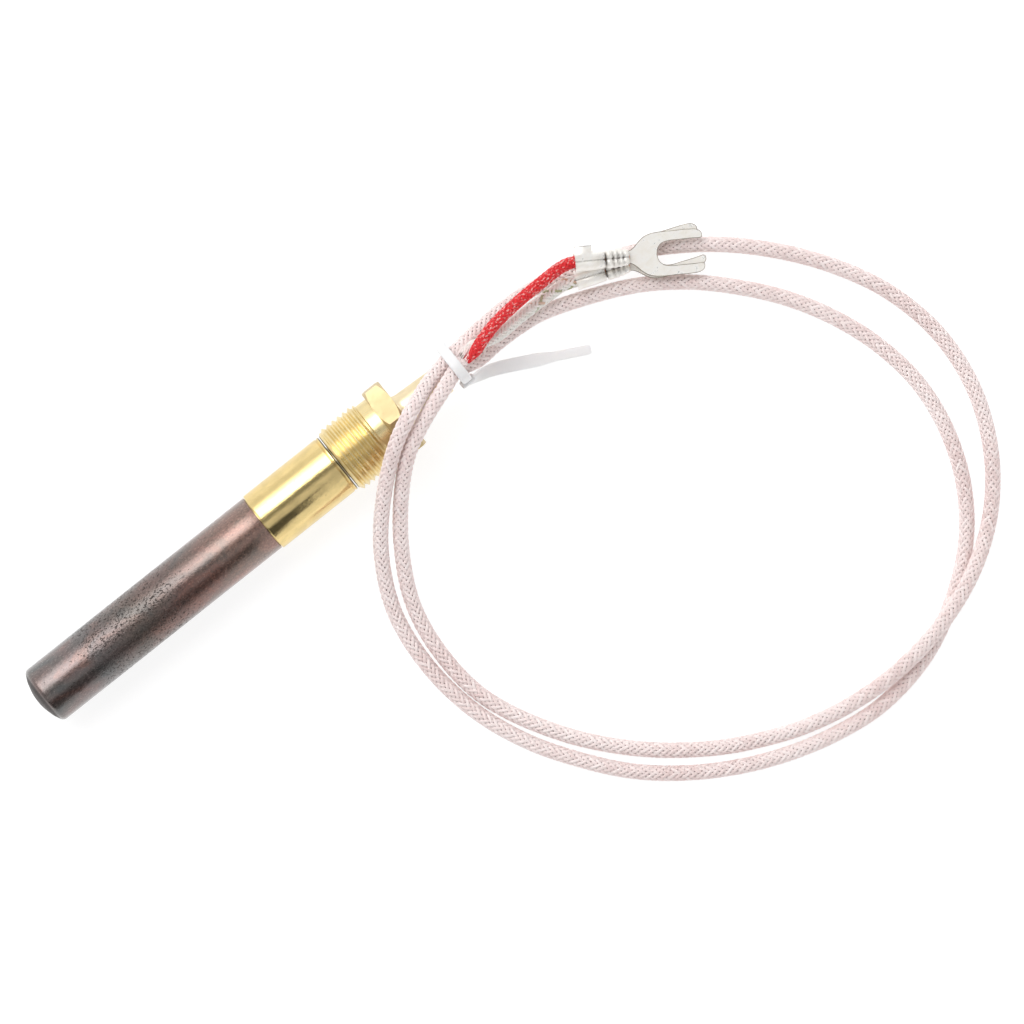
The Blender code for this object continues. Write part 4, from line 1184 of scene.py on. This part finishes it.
def sleeve():
    """The sleeve, with a fine groove that parts its end lip from its body."""
    start, end = SLEEVE_START_X, sleeve_high.x
    lip = end - SLEEVE_LIP
    profile = filleted(
        [
            (sleeve_low.x, SLEEVE_BORE, 0.0),
            (sleeve_low.x, SPIGOT_RADIUS, 0.1),
            (start, SPIGOT_RADIUS, 0.0),
            (start, SLEEVE_RADIUS, 0.22),
            (lip - 0.12, SLEEVE_RADIUS, 0.05),
            (lip - 0.04, SLEEVE_RADIUS - SLEEVE_GROOVE, 0.03),
            (lip + 0.05, SLEEVE_RADIUS - SLEEVE_GROOVE, 0.03),
            (lip + 0.12, SLEEVE_RADIUS - 0.03, 0.05),
            (end, SLEEVE_RADIUS - 0.05, 0.16),
            (end, NECK_BODY_RADIUS + FIT_GAP, 0.0),
            (end - SLEEVE_END_WALL, NECK_BODY_RADIUS + FIT_GAP, 0.0),
            (end - SLEEVE_END_WALL, SLEEVE_BORE, 0.0),
        ]
    )
    return turned("sleeve", profile, sleeve_brass)


def neck():
    """The neck, from its flange inside the sleeve to its rounded mouth."""
    start, end = neck_low.x, neck_high.x
    profile = filleted(
        [
            (start, NECK_BORE, 0.0),
            (start, NECK_FLANGE_RADIUS, 0.0),
            (start + 1.2, NECK_FLANGE_RADIUS, 0.0),
            (start + 1.2, NECK_BODY_RADIUS, 0.0),
            (nut_high.x, NECK_BODY_RADIUS, 0.2),
            (nut_high.x + 0.6, NECK_SHOULDER_RADIUS, 0.3),
            (end, NECK_MOUTH_RADIUS, 0.18),
            (end, NECK_BORE, 0.1),
        ]
    )
    return turned("neck", profile, neck_brass)


for piece, node, slot in (
    (sheath(), "probe_sheath", "oxidised_steel"),
    (sleeve(), "cold_junction_sleeve", "bright_brass"),
    (neck(), "rear_neck", "neck_brass"),
):
    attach(piece, HEAD_BODY)
    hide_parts(node)


# ---- Attachment nut: a helical thread, a plain collar and a chamfered hexagon. ----
THREAD_RADIUS = 5.75
THREAD_ROOT_RADIUS = 5.3
THREAD_PITCH = 1.02
THREAD_CREST_X = 20.6
THREAD_START_X = 20.05
THREAD_END_X = 26.55
THREAD_FADE = 0.45
COLLAR_RADIUS = 5.15
NUT_BORE = 3.3
NUT_SEGMENTS = 144
NUT_STEP = 0.075
NUT_LEAD_IN = 0.1
HEX_CORNER_RADIUS = 6.93
HEX_TURN = math.radians(4.0)
HEX_START_X = 28.8
HEX_FACE_RADIUS = 6.05
HEX_CHAMFER_SLOPE = 1.45
HEX_CHAMFER_DEPTH = 0.75
HEX_ROUNDING = 0.07
HEX_SMOOTH_DEGREES = 20.0
THREAD_RUN_OUT = 0.3


def nut_thread():
    """Thread and collar: rings of points whose radius follows a helix."""
    start = nut_low.x - NUT_LEAD_IN
    turns = np.arange(NUT_SEGMENTS) * math.tau / NUT_SEGMENTS
    stations = np.arange(start, HEX_START_X + 0.3, NUT_STEP)
    run_out = THREAD_END_X + THREAD_RUN_OUT
    fades = (THREAD_START_X - THREAD_FADE, THREAD_START_X, THREAD_END_X, run_out)
    rings = []
    for x in stations:
        phase = (x - THREAD_CREST_X) / THREAD_PITCH - turns / math.tau
        off_crest = np.abs(phase - np.round(phase)) * 2.0
        height = np.clip(1.12 - 1.24 * off_crest, 0.0, 1.0)
        height = height * height * (3.0 - 2.0 * height) * 0.4 + height * 0.6
        window = np.interp(x, fades, (0, 1, 1, 0))
        root = np.interp(x, (THREAD_END_X, run_out), (THREAD_ROOT_RADIUS, COLLAR_RADIUS))
        radius = root + (THREAD_RADIUS - THREAD_ROOT_RADIUS) * height * window
        radius = np.minimum(radius, COLLAR_RADIUS - 0.15 + (x - start) * 1.2)
        rings.append(ring_at(x, radius, turns))
    for x, radius in ((HEX_START_X + 0.3, NUT_BORE), (start + 0.15, NUT_BORE), (start, NUT_BORE + 0.15)):
        rings.append(ring_at(x, radius, turns))
    faces = grid_faces(len(rings), NUT_SEGMENTS, wrap_rows=True)
    return mesh_object("nut_thread", np.concatenate(rings), faces, [nut_brass], smooth_angle=60.0)


def solid_of_profile(name, profile, segments):
    """A solid turned about the head's axis, from a profile that starts and ends on the axis."""
    angles = np.arange(segments) * math.tau / segments
    points = [(profile[0][0], 0.0, AXIS_HEIGHT)]
    for x, r in profile[1:-1]:
        points += [(x, r * math.cos(angle), AXIS_HEIGHT + r * math.sin(angle)) for angle in angles]
    points.append((profile[-1][0], 0.0, AXIS_HEIGHT))
    rows = len(profile) - 2
    faces = grid_faces(rows, segments, start=1).tolist()
    last = len(points) - 1
    for side in range(segments):
        after = (side + 1) % segments
        faces.append([0, 1 + after, 1 + side])
        faces.append([last, 1 + (rows - 1) * segments + side, 1 + (rows - 1) * segments + after])
    return mesh_object(name, points, faces, [], mixed_faces=True)


def nut_hexagon():
    """The hexagon, cut by a cone at each end and bored, with its edges softened."""
    corners = []
    for corner in range(6):
        angle = math.pi / 2 + HEX_TURN + math.tau * corner / 6
        corners.append((HEX_CORNER_RADIUS * math.cos(angle), HEX_CORNER_RADIUS * math.sin(angle)))
    block = plate("nut_hexagon", corners, HEX_START_X, nut_high.x, facet_brass)
    block.data.transform(Matrix(((0, 0, 1, 0), (1, 0, 0, 0), (0, 1, 0, AXIS_HEIGHT * MM), (0, 0, 0, 1))))
    full = HEX_FACE_RADIUS + HEX_CHAMFER_DEPTH * HEX_CHAMFER_SLOPE
    start, end = HEX_START_X, nut_high.x
    near = HEX_FACE_RADIUS - 0.5 * HEX_CHAMFER_SLOPE
    cone = solid_of_profile(
        "hexagon_cone",
        (
            (start - 0.5, 0.0),
            (start - 0.5, near),
            (start + HEX_CHAMFER_DEPTH, full),
            (end - HEX_CHAMFER_DEPTH, full),
            (end + 0.5, near),
            (end + 0.5, 0.0),
        ),
        120,
    )
    bore = solid_of_profile(
        "hexagon_bore", ((start - 1, 0.0), (start - 1, NUT_BORE), (end + 1, NUT_BORE), (end + 1, 0.0)), 96
    )
    for cutter, operation in ((cone, "INTERSECT"), (bore, "DIFFERENCE")):
        cut = block.modifiers.new(cutter.name, "BOOLEAN")
        cut.object = cutter
        cut.operation = operation
    whole = evaluated(block, "nut_hexagon")
    for cutter in (cone, bore):
        bpy.data.objects.remove(cutter, do_unlink=True)
    whole.data.materials.clear()
    whole.data.materials.append(facet_brass)
    whole.data.polygons.foreach_set("material_index", [0] * len(whole.data.polygons))
    whole.data.shade_smooth()
    whole.data.set_sharp_from_angle(angle=math.radians(HEX_SMOOTH_DEGREES))
    return evaluated(rounded_edges(whole, HEX_ROUNDING, angle=HEX_SMOOTH_DEGREES), "nut_hexagon")


nut = joined("nut", [nut_thread(), nut_hexagon()])
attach(nut, NUT_BODY)
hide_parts("attachment_nut")

# ---- The pieces inside keep their CAD shapes and take these looks. ----
INNER_LOOKS = {
    "tip_insulator": fibre,
    "insulation_sleeve": fibre,
    "lead_bush": fibre,
    "ceramic_core": ceramic,
    "cold_end_disc": ceramic,
    "cement_plug": cement,
    "positive_splice": strand_copper,
    "negative_splice": strand_copper,
    "inner_wire_red": dark_red,
    "inner_wire_white": dull_white,
}
for name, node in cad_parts.items():
    look = alloy if name.startswith("thermocouple_") else INNER_LOOKS.get(name)
    if look:
        node.data.materials.clear()
        node.data.materials.append(look)

# ---- Studio: a white tent with one bright window beside the head's axis, and a pale floor. ----
FLOOR_SIZE = 3.0
FLOOR_COLOUR = (0.34, 0.34, 0.34)
FLOOR_GLOW = 0.78
WINDOW_LIGHT = 3.6
WINDOW_HALF_SPREAD = 0.36


def make_floor():
    half = FLOOR_SIZE / 2
    mesh = bpy.data.meshes.new("floor")
    corners = ((-half, -half, 0), (half, -half, 0), (half, half, 0), (-half, half, 0))
    mesh.from_pydata(corners, [], [(0, 1, 2, 3)])
    look = Look("pale_floor", roughness=0.9, specular_ior_level=0.1)
    grain = look.noise((0.05, 0.05, 0.05), detail=2.0)
    lighter = tuple(1.02 * part for part in FLOOR_COLOUR)
    look.set("Base Color", look.ramp(grain, ((0.3, FLOOR_COLOUR), (0.7, lighter))))
    look.set("Emission Color", (1.0, 1.0, 1.0))
    look.set("Emission Strength", FLOOR_GLOW)
    mesh.materials.append(look.material)
    floor = linked("floor", mesh)


def make_tent():
    """The tent's light by direction: its angle off the zenith across the head's axis, and its reach along it.

    The camera itself sees nothing darker than white.
    """
    world = bpy.data.worlds.new("tent")
    bpy.context.scene.world = world
    world.use_nodes = True
    tree = world.node_tree
    background = tree.nodes["Background"]

    def node(kind, inputs, **settings):
        made = tree.nodes.new(kind)
        for name, value in settings.items():
            setattr(made, name, value)
        for name, value in inputs.items():
            if isinstance(value, bpy.types.NodeSocket):
                tree.links.new(value, made.inputs[name])
            else:
                made.inputs[name].default_value = value
        return made

    def ramp(value, stops):
        made = node("ShaderNodeValToRGB", {"Fac": value})
        elements = made.color_ramp.elements
        while len(elements) < len(stops):
            elements.new(1.0)
        for element, (degrees, light) in zip(elements, stops):
            element.position = 0.5 + degrees / 360.0
            element.color = (light, light, light, 1.0)
        return made.outputs["Color"]

    def maths(operation, *values):
        return node("ShaderNodeMath", dict(enumerate(values)), operation=operation).outputs[0]

    direction = node("ShaderNodeTexCoord", {}).outputs["Generated"]
    parts = node("ShaderNodeSeparateXYZ", {"Vector": direction})
    angle = maths("ARCTAN2", parts.outputs["Y"], parts.outputs["Z"])
    place = node("ShaderNodeMapRange", {"Value": angle, "From Min": -math.pi, "From Max": math.pi}).outputs[0]
    tent = ramp(
        place,
        (
            (-90.0, 1.0),
            (-58.0, 0.88),
            (-50.0, 0.7),
            (-22.0, 0.62),
            (-14.0, 0.72),
            (-7.0, 0.62),
            (-3.0, 0.28),
            (11.0, 0.28),
            (14.5, 0.8),
            (60.0, 0.9),
            (90.0, 1.0),
        ),
    )
    window = ramp(
        place,
        (
            (13.0, 0.0),
            (17.0, 0.7),
            (24.0, 1.0),
            (42.0, 0.9),
            (51.0, 0.5),
            (58.0, 0.22),
            (68.0, 0.0),
        ),
    )
    sideways = maths("ABSOLUTE", parts.outputs["X"])
    limits = {"Value": sideways, "From Min": WINDOW_HALF_SPREAD, "From Max": WINDOW_HALF_SPREAD * 0.6}
    reach = node("ShaderNodeMapRange", limits, interpolation_type="SMOOTHSTEP").outputs[0]
    lit = maths("MULTIPLY", window, maths("MULTIPLY", reach, WINDOW_LIGHT))
    seen = node("ShaderNodeLightPath", {}).outputs["Is Camera Ray"]
    total = maths("MAXIMUM", maths("ADD", tent, lit), seen)
    background.inputs["Color"].default_value = (1.0, 1.0, 1.0, 1.0)
    tree.links.new(total, background.inputs["Strength"])


# A dark card hangs beside the head. Only reflections see it.
CARD_DISTANCE = 110.0
CARD_ANGLES = (-57.0, -30.0)
CARD_GLOW = 0.04
CARD_OUTLINE = (
    # x, and the share of the way from the first of CARD_ANGLES to the second
    (-260.0, -0.5),
    (-8.0, -0.5),
    (-2.0, 0.0),
    (9.0, 0.0),
    (13.0, 0.06),
    (9.5, 0.5),
    (12.0, 0.86),
    (22.0, 0.93),
    (22.0, 1.0),
    (-260.0, 1.0),
)


def make_card():
    points = []
    for x, share in CARD_OUTLINE:
        angle = math.radians(CARD_ANGLES[0] + (CARD_ANGLES[1] - CARD_ANGLES[0]) * share)
        points.append((x, CARD_DISTANCE * math.sin(angle), AXIS_HEIGHT + CARD_DISTANCE * math.cos(angle)))
    mesh = bpy.data.meshes.new("card")
    corners = [tuple(value * MM for value in point) for point in points]
    mesh.from_pydata(corners, [], [tuple(range(len(corners)))])
    look = Look("card_grey", roughness=0.9, base_color=(0.02, 0.02, 0.02))
    look.set("Emission Color", (1.0, 1.0, 1.0))
    look.set("Emission Strength", CARD_GLOW)
    mesh.materials.append(look.material)
    card = linked("card", mesh)
    card.visible_camera = False
    card.visible_diffuse = False
    card.visible_shadow = False
    card.visible_transmission = False


make_floor()
make_tent()
make_card()
bpy.context.scene.view_settings.view_transform = "Standard"
bpy.context.scene.view_settings.look = "None"
